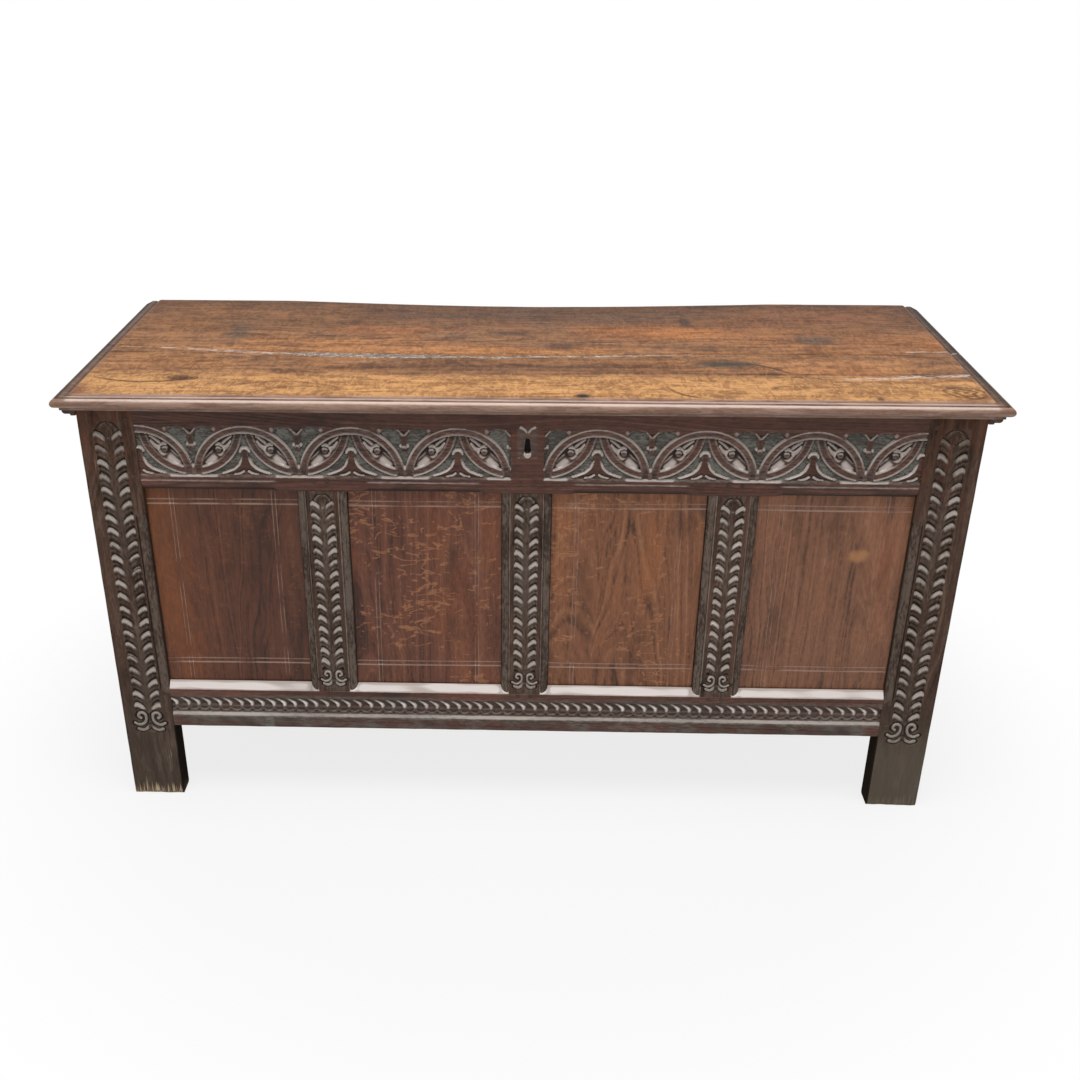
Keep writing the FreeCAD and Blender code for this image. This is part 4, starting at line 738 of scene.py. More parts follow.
def oak(name, along, palette, hollow_shade_and_grime=HOLLOW_SHADE_AND_GRIME, worn=WORN_AND_HIGHLIGHT, gloss=0.44, flecks=0, ring=3.2, blotch=0.5,
        slab_cut=0.09, shine=0.2, marks=None, tint=None, coat=0.06):
    """Old waxed oak, its grain along one axis; where carved, painted shade with some dirt in the
    hollows, and worn edges with painted highlights.
    """
    dark, middle, light, warm = palette
    finish = Finish(bpy.data.materials.new(name))
    bands, pores, rays, grain = oak_figure(finish, along, ring, slab_cut)
    sunk, edge = finish.attribute("sunk"), finish.attribute("edge")
    cloud = noise(grain, (2.4, 6.5, 6.5), 4, 0.6)
    patch = noise(grain, (9, 26, 26), 4, 0.62)
    streak = noise(grain, (3.5, 95, 95), 4, 0.65)
    speck = noise(grain, (90, 300, 300), 3, 0.7)
    tone = bands * 0.3 + streak * 0.26 + cloud * 0.22 + speck * 0.22
    colour = mix(ramp(tone, 0.37, 0.51), dark, middle)
    colour = mix(ramp(tone, 0.5, 0.62), colour, light)
    colour = stained(colour, warm, 0.6, cloud + (speck - 0.5) * 0.3, 0.5, 0.72)
    if flecks:
        colour = mix(rays * flecks, colour, FLECK)
    colour = stained(colour, dark, blotch, patch, 0.5, 0.72)
    colour = mix(pores * 0.38, colour, dark)
    if marks:
        colour = marks(finish, colour, bands, dark)
    if tint:
        tinted = mix(ramp(patch + speck - 0.5, 0.35, 0.65), *tint)
        colour = mix(finish.attribute("rim") * 0.9, colour, tinted)
    # Painted shade, with some dirt, where the mesh is sunk or creased.
    hollow = ramp(sunk + (patch - 0.5) * 0.35, 0.15, 0.85)
    colour = mix(hollow * 0.85, colour, hollow_shade_and_grime)
    # Wear and painted highlight on edges and up-facing places, the brightest near white; an edge
    # under -1 paints the keyhole black as its shade.
    rub = ramp(edge + (speck - 0.5) * 0.5 + (patch - 0.5) * 0.2, 0.1, 0.9)
    colour = mix(rub * 0.88, colour, worn)
    colour = stained(colour, PAINTED_HIGHLIGHT, 0.85, edge + (patch - 0.5) * 0.3, 1.15, 1.75)
    colour = mix(ramp(edge, -1, -2), colour, HOLE_SHADE_BLACK)
    rough = patch * 0.22 + (gloss - 0.11) + hollow * 0.22 - rub * 0.08
    height = bands * 0.25 + streak * 0.5 - pores * 0.55 + patch * 0.35 + speck * 0.3
    inputs = {"Base Color": colour, "Roughness": rough, "Specular IOR Level": shine,
              "Coat Weight": coat, "Coat Roughness": 0.28}
    return finish.surface(inputs, height, 0.32, 0.0009)


def away_from(x, y, place, reach=None):
    """How far each point is from a place, in metres or in shares of a reach each way."""
    aside, above = x - place[0], y - place[1]
    if reach:
        aside, above = aside / reach[0], above / reach[1]
    return maths("SQRT", aside ** 2 + above ** 2)


# Marks on the lid, in metres: (middle, half size, share, tone).
LID_PATCHES = (
    ((-0.43, 0.185), (0.17, 0.052), 0.5, (146, 100, 60)),
    # Painted shade along the back edge.
    ((0.01, 0.2), (0.3, 0.042), 0.5, (90, 64, 48)),
    ((0.5, 0.17), (0.14, 0.058), 0.45, (138, 92, 62)),
    ((-0.3, 0.022), (0.18, 0.022), 0.55, (186, 126, 72)),
    ((0.42, -0.08), (0.22, 0.03), 0.5, (188, 132, 84)),
    ((-0.56, -0.09), (0.12, 0.048), 0.5, (180, 128, 80)),
    ((-0.6, 0.15), (0.11, 0.1), 0.55, (146, 98, 56)),
    ((-0.235, 0.09), (0.1, 0.04), 0.6, (164, 104, 60)),
    ((0.215, 0.09), (0.13, 0.045), 0.65, (176, 110, 54)),
    ((-0.12, -0.02), (0.38, 0.022), 0.7, (192, 130, 76)),
    ((-0.08, -0.108), (0.3, 0.03), 0.6, (104, 72, 50)),
    ((-0.03, 0.082), (0.042, 0.017), 0.75, (66, 44, 34)),
    ((0.048, 0.005), (0.026, 0.026), 0.72, (84, 56, 42)),
    ((0.265, 0.152), (0.013, 0.028), 0.85, (58, 40, 32)),
    ((0.283, -0.008), (0.026, 0.009), 0.65, (60, 44, 36)),
    ((0.206, 0), (0.013, 0.008), 0.6, (72, 48, 34)),
    ((0.465, 0.045), (0.046, 0.03), 0.75, (84, 70, 60)),
    ((0.6, 0.088), (0.014, 0.006), 0.6, (62, 44, 34)),
    ((-0.48, 0.066), (0.024, 0.064), 0.6, (92, 76, 62)),
    ((-0.12, 0.068), (0.07, 0.011), 0.45, (140, 112, 90)),
    ((0.655, 0.03), (0.02, 0.034), 0.6, (176, 112, 66)),
    ((0.5, -0.108), (0.12, 0.026), 0.6, (180, 122, 72)),
    ((-0.66, -0.225), (0.026, 0.04), 0.6, (108, 60, 44)),
    ((-0.52, -0.168), (0.024, 0.014), 0.85, (84, 54, 34)),
    ((0.303, -0.08), (0.0595, 0.02), 1, (58, 52, 44)),
    ((0.36, -0.19), (0.008, 0.009), 0.6, (92, 56, 34)),
    ((0.404, -0.186), (0.008, 0.009), 0.6, (92, 56, 34)),
    ((0.502, -0.233), (0.007, 0.009), 0.7, (70, 46, 32)),
    ((0.078, -0.231), (0.013, 0.011), 1, (48, 40, 34)),
    ((0.5, 0.19), (0.19, 0.06), 0.45, (132, 84, 52)))
# Curved cracks: (middle of the curve, radius, its ends in x, 1 above the middle or -1, share).
LID_ARCS = (((0.3, -0.184), 0.111, (0.25, 0.408), 1, 0.95),
            ((0.262, -0.175), 0.061, (0.205, 0.262), -1, 0.95),
            ((-0.57, -0.02), 0.165, (-0.64, -0.495), -1, 0.9),
            ((-0.36, -0.33), 0.15, (-0.44, -0.25), 1, 0.4),
            ((-0.33, -0.3), 0.1, (-0.4, -0.25), 1, 0.35),
            ((0.375, -0.205), 0.022, (0.35, 0.402), 1, 0.55))
LID_KNOTS = (((0.63, -0.205), (0.042, 0.04)), ((-0.515, -0.166), (0.034, 0.016)))
PALE_CRACK, GREY_CRACK, DARK_CRACK = (222, 208, 198), (150, 134, 120), (62, 44, 34)
# Straight cracks: (start, end, half width, share, tone).
LID_CRACKS = (((-0.65, -0.014), (-0.58, -0.018), 0.004, 0.45, PALE_CRACK),
              ((-0.59, -0.017), (-0.39, -0.049), 0.007, 0.62, PALE_CRACK),
              ((0.464, -0.149), (0.56, -0.141), 0.008, 0.7, PALE_CRACK),
              ((0.545, -0.136), (0.67, -0.126), 0.009, 0.8, PALE_CRACK),
              ((0.595, -0.012), (0.67, -0.01), 0.006, 0.6, PALE_CRACK),
              ((0.246, -0.036), (0.33, -0.041), 0.006, 0.5, GREY_CRACK),
              ((0.2, -0.047), (0.64, -0.026), 0.004, 0.8, DARK_CRACK),
              ((0.36, -0.14), (0.47, -0.148), 0.004, 0.7, DARK_CRACK))


def lid_marks(finish, colour, bands, dark):
    """Spills, wear, a painted sheen and painted shade on the lid: patches of tone first, then the
    grain over them all.
    """
    place, x, y, z = finish.place()
    underside = mix(0.35, colour, (104, 78, 58))
    cloud = noise(place, (3, 9, 9), 4, 0.6)
    ragged = noise(place, (22, 55, 55), 5, 0.72)
    streak = noise(place, (13, 96, 96), 4, 0.64, 0.7)
    fine = noise(place, (180, 320, 320), 2, 0.6)
    ripple = noise(place, (74, 34, 34), 3, 0.6, 1.6)
    smear = noise(place, (8, 18, 18), 3, 0.6)
    chips = noise(place, (70, 210, 210), 3, 0.7)
    mottle = noise(place, (40, 80, 80), 4, 0.72)
    pits = noise(place, (220, 460, 460), 2, 0.5)

    # A lighter front band and a darker back: painted sheen that fades towards the back, over the
    # board's own tone.
    front = y + cloud * 0.07 + (ragged - 0.5) * 0.07
    colour = stained(colour, (196, 146, 92), 0.8, front, -0.082, -0.132)
    colour = stained(colour, (92, 60, 38), 0.75, y + cloud * 0.14, 0.09, 0.28)
    for centre, reach, share, tone in LID_PATCHES:
        fray = 2.2 if reach[0] > 0.06 else 1
        away = away_from(x, y, centre, reach) + (ragged - 0.5) * fray
        colour = stained(colour, tone, share, away, 1.25, 0.3)
    for centre, radius, (start, end), half, share in LID_ARCS:
        off = abs(away_from(x, y, centre) - radius + (ragged - 0.5) * 0.006)
        run = ramp(x, start - 0.02, start + 0.02) * ramp(x, end, end - 0.03)
        side = ramp(y, centre[1], centre[1] + 0.02 * half)
        colour = mix(ramp(off, 0.0045, 0.001) * run * side * share, colour, dark)
    for centre, reach in LID_KNOTS:
        away = away_from(x, y, centre, reach) + (ragged - 0.5) * 0.9
        rings = maths("SINE", away * 23) * 0.5 + 0.5
        colour = mix(ramp(away, 1.1, 0.5) * rings * 0.9, colour, (84, 50, 28))

    darker = mix(1, colour, (0.5, 0.41, 0.36, 1), "MULTIPLY")
    lighter = mix(1, colour, (1.38, 1.36, 1.34, 1), "MULTIPLY")
    for tone, share, field, low, high in (
            (darker, 0.85, streak + (bands - 0.5) * 0.35, 0.51, 0.38),
            (lighter, 0.75, streak + (fine - 0.5) * 0.3, 0.51, 0.62),
            (darker, 0.62, mottle, 0.5, 0.4), (lighter, 0.45, mottle, 0.52, 0.64),
            (lighter, 0.35, fine, 0.52, 0.66),
            (darker, 0.5, smear, 0.5, 0.38), (lighter, 0.35, smear, 0.52, 0.64),
            (darker, 0.5, ripple, 0.48, 0.36), (lighter, 0.5, ripple, 0.51, 0.6)):
        colour = stained(colour, tone, share, field, low, high)
    for start, end, half, share, tone in LID_CRACKS:
        slope = (end[1] - start[1]) / (end[0] - start[0])
        aside = abs(y - (x - start[0]) * slope - start[1] + (ragged - 0.5) * 0.012)
        run = between(x, start[0], end[0], 0.008)
        crack = ramp(aside, half, half * 0.25) * run * ramp(chips, 0.42, 0.6)
        colour = mix(crack * share, colour, tone)
    colour = stained(colour, (56, 36, 24), 0.6, pits, 0.62, 0.7)

    filler = finish.attribute("filler")
    filled = mix(ramp(chips, 0.38, 0.6), (104, 90, 80), (164, 154, 144))
    filled = mix(ramp(fine + (chips - 0.5) * 0.5, 0.6, 0.66), filled, (226, 218, 210))
    torn = ramp(filler + (chips - 0.5) * 2.6 + (ragged - 0.5), 0.45, 0.75)
    colour = mix(torn * ramp(filler, 0.03, 0.25) * 0.85, colour, filled)
    colour = stained(colour, (214, 190, 160), 0.3, pits + (ragged - 0.5) * 0.3, 0.33, 0.28)
    colour = mix(ramp(z, 0.7055, 0.7025), colour, underside)

    # The rim's pale pinkish tone is partly painted reflection over its own greyish brown; its ends
    # are darker.
    run_round = ramp(y, -0.256, -0.25)
    edging = mix(ramp(streak, 0.4, 0.62), (126, 98, 86), (160, 132, 118))
    edging = mix(ramp(abs(x), 0.656, 0.664) * run_round * 0.6, edging, (72, 56, 46))
    edging = mix(ramp(abs(x + 0.002), 0.669, 0.676) * run_round, edging, (28, 23, 20))
    return mix(finish.attribute("rim") * 0.9, colour, edging)


def post_wear_and_shade(finish, colour, bands, dark):
    """Posts are redder at the top; the feet are grey and frayed below, with painted shade on their
    inner side.
    """
    place, x, y, z = finish.place()
    blot = noise(place, (60, 60, 14), 4, 0.65)
    thread = noise(place, (420, 420, 14), 2, 0.6)
    colour = stained(colour, (132, 82, 60), 0.36, z + (blot - 0.5) * 0.9, 0.56, 0.8)
    grey = ramp(z + (blot - 0.5) * 0.3, 0.3, 0.08)
    colour = mix(grey * 0.55, colour, (82, 74, 66))
    colour = mix(grey * ramp(blot, 0.5, 0.64) * 0.5, colour, (112, 98, 88))
    right_foot = ramp(x, 0.5, 0.56) * ramp(z + (blot - 0.5) * 0.2, 0.19, 0.08)
    colour = mix(right_foot * 0.5, colour, (112, 103, 90))
    tips = ramp(z, 0.036, 0)
    frayed = ramp(tips + (thread - 0.5) * 2.4 + (blot - 0.5) * 1.2, 0.4, 1.25)
    straw = mix(ramp(thread, 0.4, 0.6), (140, 112, 80), (216, 196, 162))
    colour = mix(frayed * (ramp(x, 0, -0.1) * 0.7 + 0.1), colour, straw)
    # Painted shade: the inner side of each front foot is painted near black.
    inner = ramp(abs(x), 0.5795, 0.5785) * ramp(z, 0.15, 0.135) * ramp(y, -0.18, -0.19)
    return mix(inner * 0.85, colour, (26, 22, 19))


BRUISE = (0.5085, 0.4625)
BRUISE_STRETCH = 1.7


def panel_blemish(finish, colour, bands, dark):
    """The pale bruise on the right panel, and the warmer left side of the left one."""
    place, x, y, z = finish.place()
    bruise = away_from(x, z * BRUISE_STRETCH, (BRUISE[0], BRUISE[1] * BRUISE_STRETCH))
    cloud = noise(place, (9, 9, 4), 4, 0.6)
    warm = ramp(x + (cloud - 0.5) * 0.3, -0.44, -0.58) * ramp(z, 0.25, 0.34)
    colour = mix(warm * 0.3, colour, (130, 78, 44))
    ragged = (noise(place, 55, 4, 0.6) - 0.5) * 0.035
    return stained(colour, (186, 132, 86), 0.7, bruise + ragged, 0.024, 0.008)


def iron(name):
    """Hammered iron, dark with some rust."""
    finish = Finish(bpy.data.materials.new(name))
    place = finish.place()[0]
    hammer = noise(place, 160, 3, 0.5)
    rust = ramp(noise(place, 70, 6, 0.65), 0.5, 0.68)
    pits = noise(place, 900, 3, 0.6)
    colour = mix(rust * 0.75, mix(hammer, (48, 46, 45), (84, 80, 77)), (104, 62, 40))
    height = hammer * 0.8 + pits * 0.4 + rust * 0.3
    inputs = {"Base Color": colour, "Metallic": 0.85 - rust * 0.8, "Roughness": rust * 0.3 + 0.46}
    return finish.surface(inputs, height, 0.45, 0.0008)


RAIL_OAK = oak("rail_oak", "x", RAIL_TONES, blotch=0.75, tint=GROUND_TINT)
POST_OAK = oak("post_oak", "z", POST_TONES, POST_HOLLOW_SHADE_AND_GRIME, POST_WORN_AND_HIGHLIGHT, shine=0, marks=post_wear_and_shade,
               tint=MOULDING_TINT, coat=0)
END_OAK = oak("end_rail_oak", "y", END_TONES)
PANEL_OAKS = [oak(f"panel_oak_{number}", "z", palette, worn=PANEL_WORN_AND_HIGHLIGHT, gloss=0.42, flecks=flecks,
                  ring=2.4, blotch=0.6, slab_cut=0.2, shine=0.24,
                  marks=panel_blemish if number in (1, 4) else None)
              for number, (palette, flecks) in enumerate(zip(PANEL_TONES, PANEL_FLECKS), 1)]
LID_OAK = oak("lid_oak", "x", LID_TONES, LID_HOLLOW_SHADE_AND_GRIME, LID_WORN_AND_HIGHLIGHT, gloss=0.46, ring=3.6, blotch=0.3,
              shine=0.07, marks=lid_marks, coat=0)
FLOOR_OAK = oak("floor_oak", "y", FLOOR_TONES, FLOOR_HOLLOW_SHADE_AND_GRIME, gloss=0.62)
PEG_OAK = oak("peg_oak", "y", PEG_TONES, gloss=0.5)
IRON = iron("wrought_iron")


# Carved front -------------------------------------------------------

KEYHOLE_LEVEL = BODY_TOP - 64
KEYHOLE_RISE = 19
KEYHOLE_NICK = ((1.5, 662.5), (4.5, 667), (10, 670.5))
SCRATCH_SECTION = ((0, 0), (0.7, 1.8), (1.6, 1.6), (3, 0.5), (7, 0.7), (11, 1.5),
                   (14, 2.9), (17, 4.4), (18, 4.6))
PANEL_LINES_DOWN = 38
PANEL_LINES_ACROSS = (542, 260.5)
PANEL_LAP = 7
# Each pair of scratched lines: (place beside the middle, half width, how pale).
PAIR_DOWN = ((-2.8, 0.8, 0.6), (2.8, 0.8, 0.6))
PAIR_ACROSS = ((-3.8, 1.25, 0.95), (3.8, 0.9, 0.65))


def carved_member(name, node, across, up, depth, pale, material, **wear):
    """A front member: its carved face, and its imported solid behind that."""
    bm = with_layers(bmesh.new())
    relief_slab(bm, across, up, depth, pale, **wear)
    add_packed(bm, node, behind=FACE + SLAB)
    finish_piece(name, bm, "carcase", [node], material)


def keyhole(depth, across, up):
    """The keyhole and the worn hollow around it: (depth, pale, tint); pale holds a pale cup under
    the hole and painted highlight on the nicks, and -3 in the hole, which paints it black as its
    shade.
    """
    out = np.abs(across)
    worn = inside(out, 15, 3) * inside(up - 646, 23, 3)
    depth = lay(depth, worn * (depth < 2), 1.3 + 0.4 * waver(across, up, 14, 21))
    cup = spot(out, up - (KEYHOLE_LEVEL - 5.5), 5.6, 1.2)
    half = profile(up, ((KEYHOLE_LEVEL, 4.5), (KEYHOLE_LEVEL + KEYHOLE_RISE, 2.5)))
    slot = step(out, half + 0.4, half - 0.4)
    slot = slot * inside(up - (KEYHOLE_LEVEL + KEYHOLE_RISE / 2), KEYHOLE_RISE / 2, 0.8)
    hole = np.maximum(slot, spot(out, up - KEYHOLE_LEVEL, 4.5, 0.8))
    nick = stroke(out, up, KEYHOLE_NICK, 1.2, 2.2)
    depth = lay(lay(lay(depth, cup, 0.1), hole, SLAB - 0.5), nick, 1)
    lit = 0.9 * cup + 0.75 * nick + 0.12 * worn * inside(out - 11, 2, 2)
    return depth, lay(lit, hole, -3), 0.34 * worn * (1 - hole)


def front_top_rail():
    across = lines((-SHOULDER, -12, 1.28), (-12, 12, 0.65), (12, SHOULDER, 1.28))
    up = lines((TOP_RAIL_FOOT, 584, 1.6), (584, 673, 1.15), (673, BODY_TOP, 3.2))
    x, z = np.meshgrid(across, up)
    depth, pale, ground = frieze(x, z)
    depth, lit, stain = keyhole(depth, x, z)
    bay = np.min([step(np.abs(x - centre) - MUNTIN_HALF, 22, 36)
                  for centre in MUNTIN_CENTRES], axis=0)
    drop = TOP_RAIL_FOOT + 17.5 - z
    pale = pale + lit + 0.36 * bay * inside(drop - 1.8, 1.6, 1.6)
    depth = depth + profile(drop, SCRATCH_SECTION) * bay
    depth = depth + arris(x, z, -FAR, FAR, TOP_RAIL_FOOT, BODY_TOP, 31) + planed(x, z, 32)
    carved_member("carved_top_rail", "front_top_rail", across, up, np.maximum(depth, 0), pale,
                  RAIL_OAK, tint=np.maximum(ground, stain))


def front_bottom_rail():
    across = lines((-SHOULDER, SHOULDER, 1.2))
    up = lines((SILL_FOOT, 156, 2.6), (156, 199, 1.05), (199, 209, 2.5),
               (209, SILL_TOP, 1.4))
    x, z = np.meshgrid(across, up)
    rise = z - (SILL_TOP - CHAMFER_RISE)
    flutes, pale, grey = nulling(x, z)
    depth = flutes * inside(z - 178, 22) + np.maximum(rise, 0) * CHAMFER_SET / CHAMFER_RISE
    near = np.min([np.abs(np.abs(x - centre) - MUNTIN_HALF) for centre in MUNTIN_CENTRES], axis=0)
    # The chamfer gets a painted highlight, dimmed as painted shade beside the muntins, towards its
    # top and along a thin line near its foot.
    chamfer_highlight = 1.48 + 0.55 * waver(x, z * 4, 90, 36) - 0.8 * step(near, 9, 0)
    pale = pale + chamfer_highlight * step(rise, -0.4, 1.6) * (1 - 0.45 * step(rise, 7.5, 11.5))
    pale = pale * (1 - 0.2 * inside(rise - 1, 1.5, 1.5))
    depth += arris(x, z, -FAR, FAR, SILL_FOOT, FAR, 33) + planed(x, z, 34)
    carved_member("gouged_bottom_rail", "front_bottom_rail", across, up,
                  np.clip(depth, 0, DEEPEST), pale, RAIL_OAK, tint=grey)


def front_stile(side):
    """Side is -1 on the left and 1 on the right, which is the left one mirrored."""
    across = lines((-BODY_END, -643, 1.6), (-643, -595, 1.05), (-595, -SHOULDER, 1.2))
    up = lines((0, 12, 1.5), (12, 122, 6), (122, 676, 1.1), (676, BODY_TOP, 2.2))
    x, z = np.meshgrid(across, up)
    aside = x + STILE_COLUMN
    depth, shine = column(aside, z, STILE_LOBES, 51 + side)
    depth, lit = volute(depth, aside, z, STILE_HOOK, STILE_LEAF, 2.7, 3.1)
    depth = depth * (1 + 0.1 * waver(x, z, 30, 37 + side))
    inward = x + SHOULDER + STILE_MOULDING
    run = step(z, STILE_MOULDING_FOOT - STOP, STILE_MOULDING_FOOT)
    run = run * step(z, STILE_MOULDING_HEAD + STOP, STILE_MOULDING_HEAD)
    depth += moulding(inward, STILE_MOULDING, STILE_MOULDING_DEPTH) * run
    depth += arris(x, z, -BODY_END, FAR, 0, FAR, 35 + side, 2.2) + planed(x, z, 38 + side)
    depth += 0.35 * np.maximum(5 + 2 * waver(x, z, 25, 39 + side) - z, 0)
    carved = inside(aside, STILE_LOBES[0]) * inside(z - 400, 275)
    grey = 0.8 * step(inward, 1, 4) * run + 0.4 * carved
    fields = np.clip(depth, 0, DEEPEST), lit + shine, grey
    if side > 0:
        across, fields = -across[::-1], [field[:, ::-1] for field in fields]
    depth, pale, grey = fields
    name = "left" if side < 0 else "right"
    carved_member(f"carved_{name}_stile", f"front_{name}_stile", across, up, depth, pale, POST_OAK,
                  tint=grey, rub=0.5)


def front_muntin(number, centre):
    foot = SILL_TOP - CHAMFER_RISE
    across = lines((-MUNTIN_HALF, -MUNTIN_FACE_HALF, 1.1),
                   (-MUNTIN_FACE_HALF, MUNTIN_FACE_HALF, 1.05),
                   (MUNTIN_FACE_HALF, MUNTIN_HALF, 1.1))
    up = lines((foot, 563.5, 1.1), (563.5, TOP_RAIL_FOOT, 1.25))
    x, z = np.meshgrid(across, up)
    carving, shine = column(x, z, MUNTIN_LOBES, 61 + number)
    carving, pale = volute(carving, x, z, MUNTIN_HOOK, MUNTIN_LEAF, 2.1, 2.8)
    carving = carving * (1 + 0.1 * waver(x, z, 30, 62 + number))
    off_face = np.abs(x) - MUNTIN_FACE_HALF
    edge = moulding(off_face, MUNTIN_HALF - MUNTIN_FACE_HALF, MUNTIN_MOULDING_DEPTH)
    depth = carving + edge + 0.1 * (1 + waver(x, z, 45, 63 + number))
    near_foot = np.clip(1 - (z - foot) / 28, 0, 1)
    grey = step(off_face, 0.5, 3) + 0.55 * inside(x, MUNTIN_LOBES[0])
    # Pale: painted highlight on the lobes and along the arris of the moulding, and a little over the
    # whole face.
    pale = pale + 1.15 * shine + 0.06 + 0.3 * inside(off_face - 0.4, 0.8, 1.2)
    carved_member(f"carved_muntin_{number}", f"front_muntin_{number}", across + centre, up,
                  np.clip(depth, 0, DEEPEST), pale, POST_OAK,
                  lift=edge * CHAMFER_RISE / CHAMFER_SET * near_foot, tint=grey, rub=0.52)


def close_lines(start, places, reach, end):
    """Grid lines that close up around each scratched place."""
    spans = []
    for place in places:
        spans += [(start, place - reach, 5), (place - reach, place + reach, 0.6)]
        start = place + reach
    return lines(*spans, (start, end, 5))


def front_panel(number):
    """A sunk panel with pairs of scratched lines that cross near its corners."""
    node = f"front_panel_{number}"
    low, high = low_high(node)
    left, right = low[0] + 7.2, high[0] - 7.2
    down = left + PANEL_LINES_DOWN, right - PANEL_LINES_DOWN
    across = close_lines(left, down, 6, right)
    up = close_lines(SILL_TOP - PANEL_LAP, PANEL_LINES_ACROSS[::-1], 6.5, TOP_RAIL_FOOT + PANEL_LAP)
    x, z = np.meshgrid(across, up)
    depth = 0.35 + 0.3 * waver(x, z, 160, 70 + number)
    pale = np.zeros_like(depth)
    worn_down = patchy(x, z, 70, 90 + number, 0.85, 0.6, 0.35)
    worn_across = patchy(x, z, 70, 95 + number, 0.9, 0.6)
    for way, places, bend, pair, worn in ((x, down, z / 90, PAIR_DOWN, worn_down),
                                          (z, PANEL_LINES_ACROSS, x / 70, PAIR_ACROSS,
                                           worn_across)):
        drift = 0.5 * np.sin(bend + number)
        for place in places:
            for gap, half, share in pair:
                line = inside(way - place - gap - drift, half, 1.2)
                depth += 0.7 * line
                pale += share * line * worn
    bm = with_layers(bmesh.new())
    relief_slab(bm, across, up, np.clip(depth, 0, 2.6), pale, slab=PANEL_SLAB, face=low[1])
    add_packed(bm, node, behind=low[1] + PANEL_SLAB)
    finish_piece(f"scratched_panel_{number}", bm, "carcase", [node],
                 PANEL_OAKS[number - 1])


# The lid ------------------------------------------------------------

LID_LOW, LID_HIGH = low_high("lid_front_board")
LID_FOOT, LID_TOP = LID_LOW[2], LID_HIGH[2]
LID_END, LID_FRONT = LID_HIGH[0], LID_LOW[1]
LID_BACK = low_high("lid_rear_board")[1][1]
BORDER = 25
NOSE = 7
NOSE_LEVEL = LID_TOP - 10
NOSE_TURNS = (0, 14, 28, 42, 56, 72, 90)
NOSE_LINES = [NOSE * (1 - math.cos(math.radians(turn))) for turn in NOSE_TURNS]
EDGE_LINES = np.array(NOSE_LINES + [7.8, 8.6, 9.4, 9.6, 12, 15, 17, 18, 19, 20, 21,
                                    22, 23.5, BORDER])
EDGE_SECTION = ((7, 3), (7.8, 4.8), (8.6, 1.8), (16, 1.8), (17, 2.2), (19, 3.1),
                (21, 2.6), (22, 1.5), (23.5, 0.6), (25, 0.12), (27, 0))
SEAM_WAY = ((-690, -6), (-600, -11), (-480, -24), (-380, -40), (-250, -50),
            (-50, -50), (150, -38), (250, -30), (450, -28), (590, -22), (640, -13),
            (690, -10))
SEAM_GAP = 0.3
SEAM_PAINT = ((-660, 0.1), (-600, 0.5), (-560, 0.9), (-400, 0.9), (-360, 0.35), (150, 0.25),
              (200, 0), (585, 0), (605, 0.8), (665, 0.8))
FILLER_HALF = ((-420, 0), (-370, 5), (-330, 10), (-160, 9), (-100, 6),
               (190, 5), (240, 2), (420, 0))
ROWS = np.linspace(0, 1, 48)[1:-1]
SAG = 7.6
WORN_CORNER = 20


def seam_place(across):
    wobble = 1.2 * np.sin(across / 23) + 0.7 * np.sin(across / 9)
    return profile(across, SEAM_WAY) + wobble


def nose(inward):
    """How far the half-round nose stands from its middle height, from the rim inwards."""
    return np.sqrt(np.maximum(NOSE ** 2 - (NOSE - np.minimum(inward, NOSE)) ** 2, 0))


def rounded_corner(x, y):
    """Brings the lid's back corners in to the curve that handling has worn."""
    part_x = np.clip(1 - (LID_END - np.abs(x)) / WORN_CORNER, 0, 1)
    part_y = np.clip(1 - (LID_BACK - y) / WORN_CORNER, 0, 1)
    both = (part_x > 0) & (part_y > 0)
    new_x = LID_END - WORN_CORNER + WORN_CORNER * part_x * np.sqrt(1 - part_y ** 2 / 2)
    new_y = LID_BACK - WORN_CORNER + WORN_CORNER * part_y * np.sqrt(1 - part_x ** 2 / 2)
    return np.where(both, np.sign(x) * new_x, x), np.where(both, new_y, y)


def lid_split(x, y):
    """A drying split that runs in from the right end."""
    way = -139 + (x - 464) * 0.045 + 1.5 * np.sin(x / 25)
    return 0.8 * inside(y - way, 1.7, 1.6) * step(x, 455, 500)


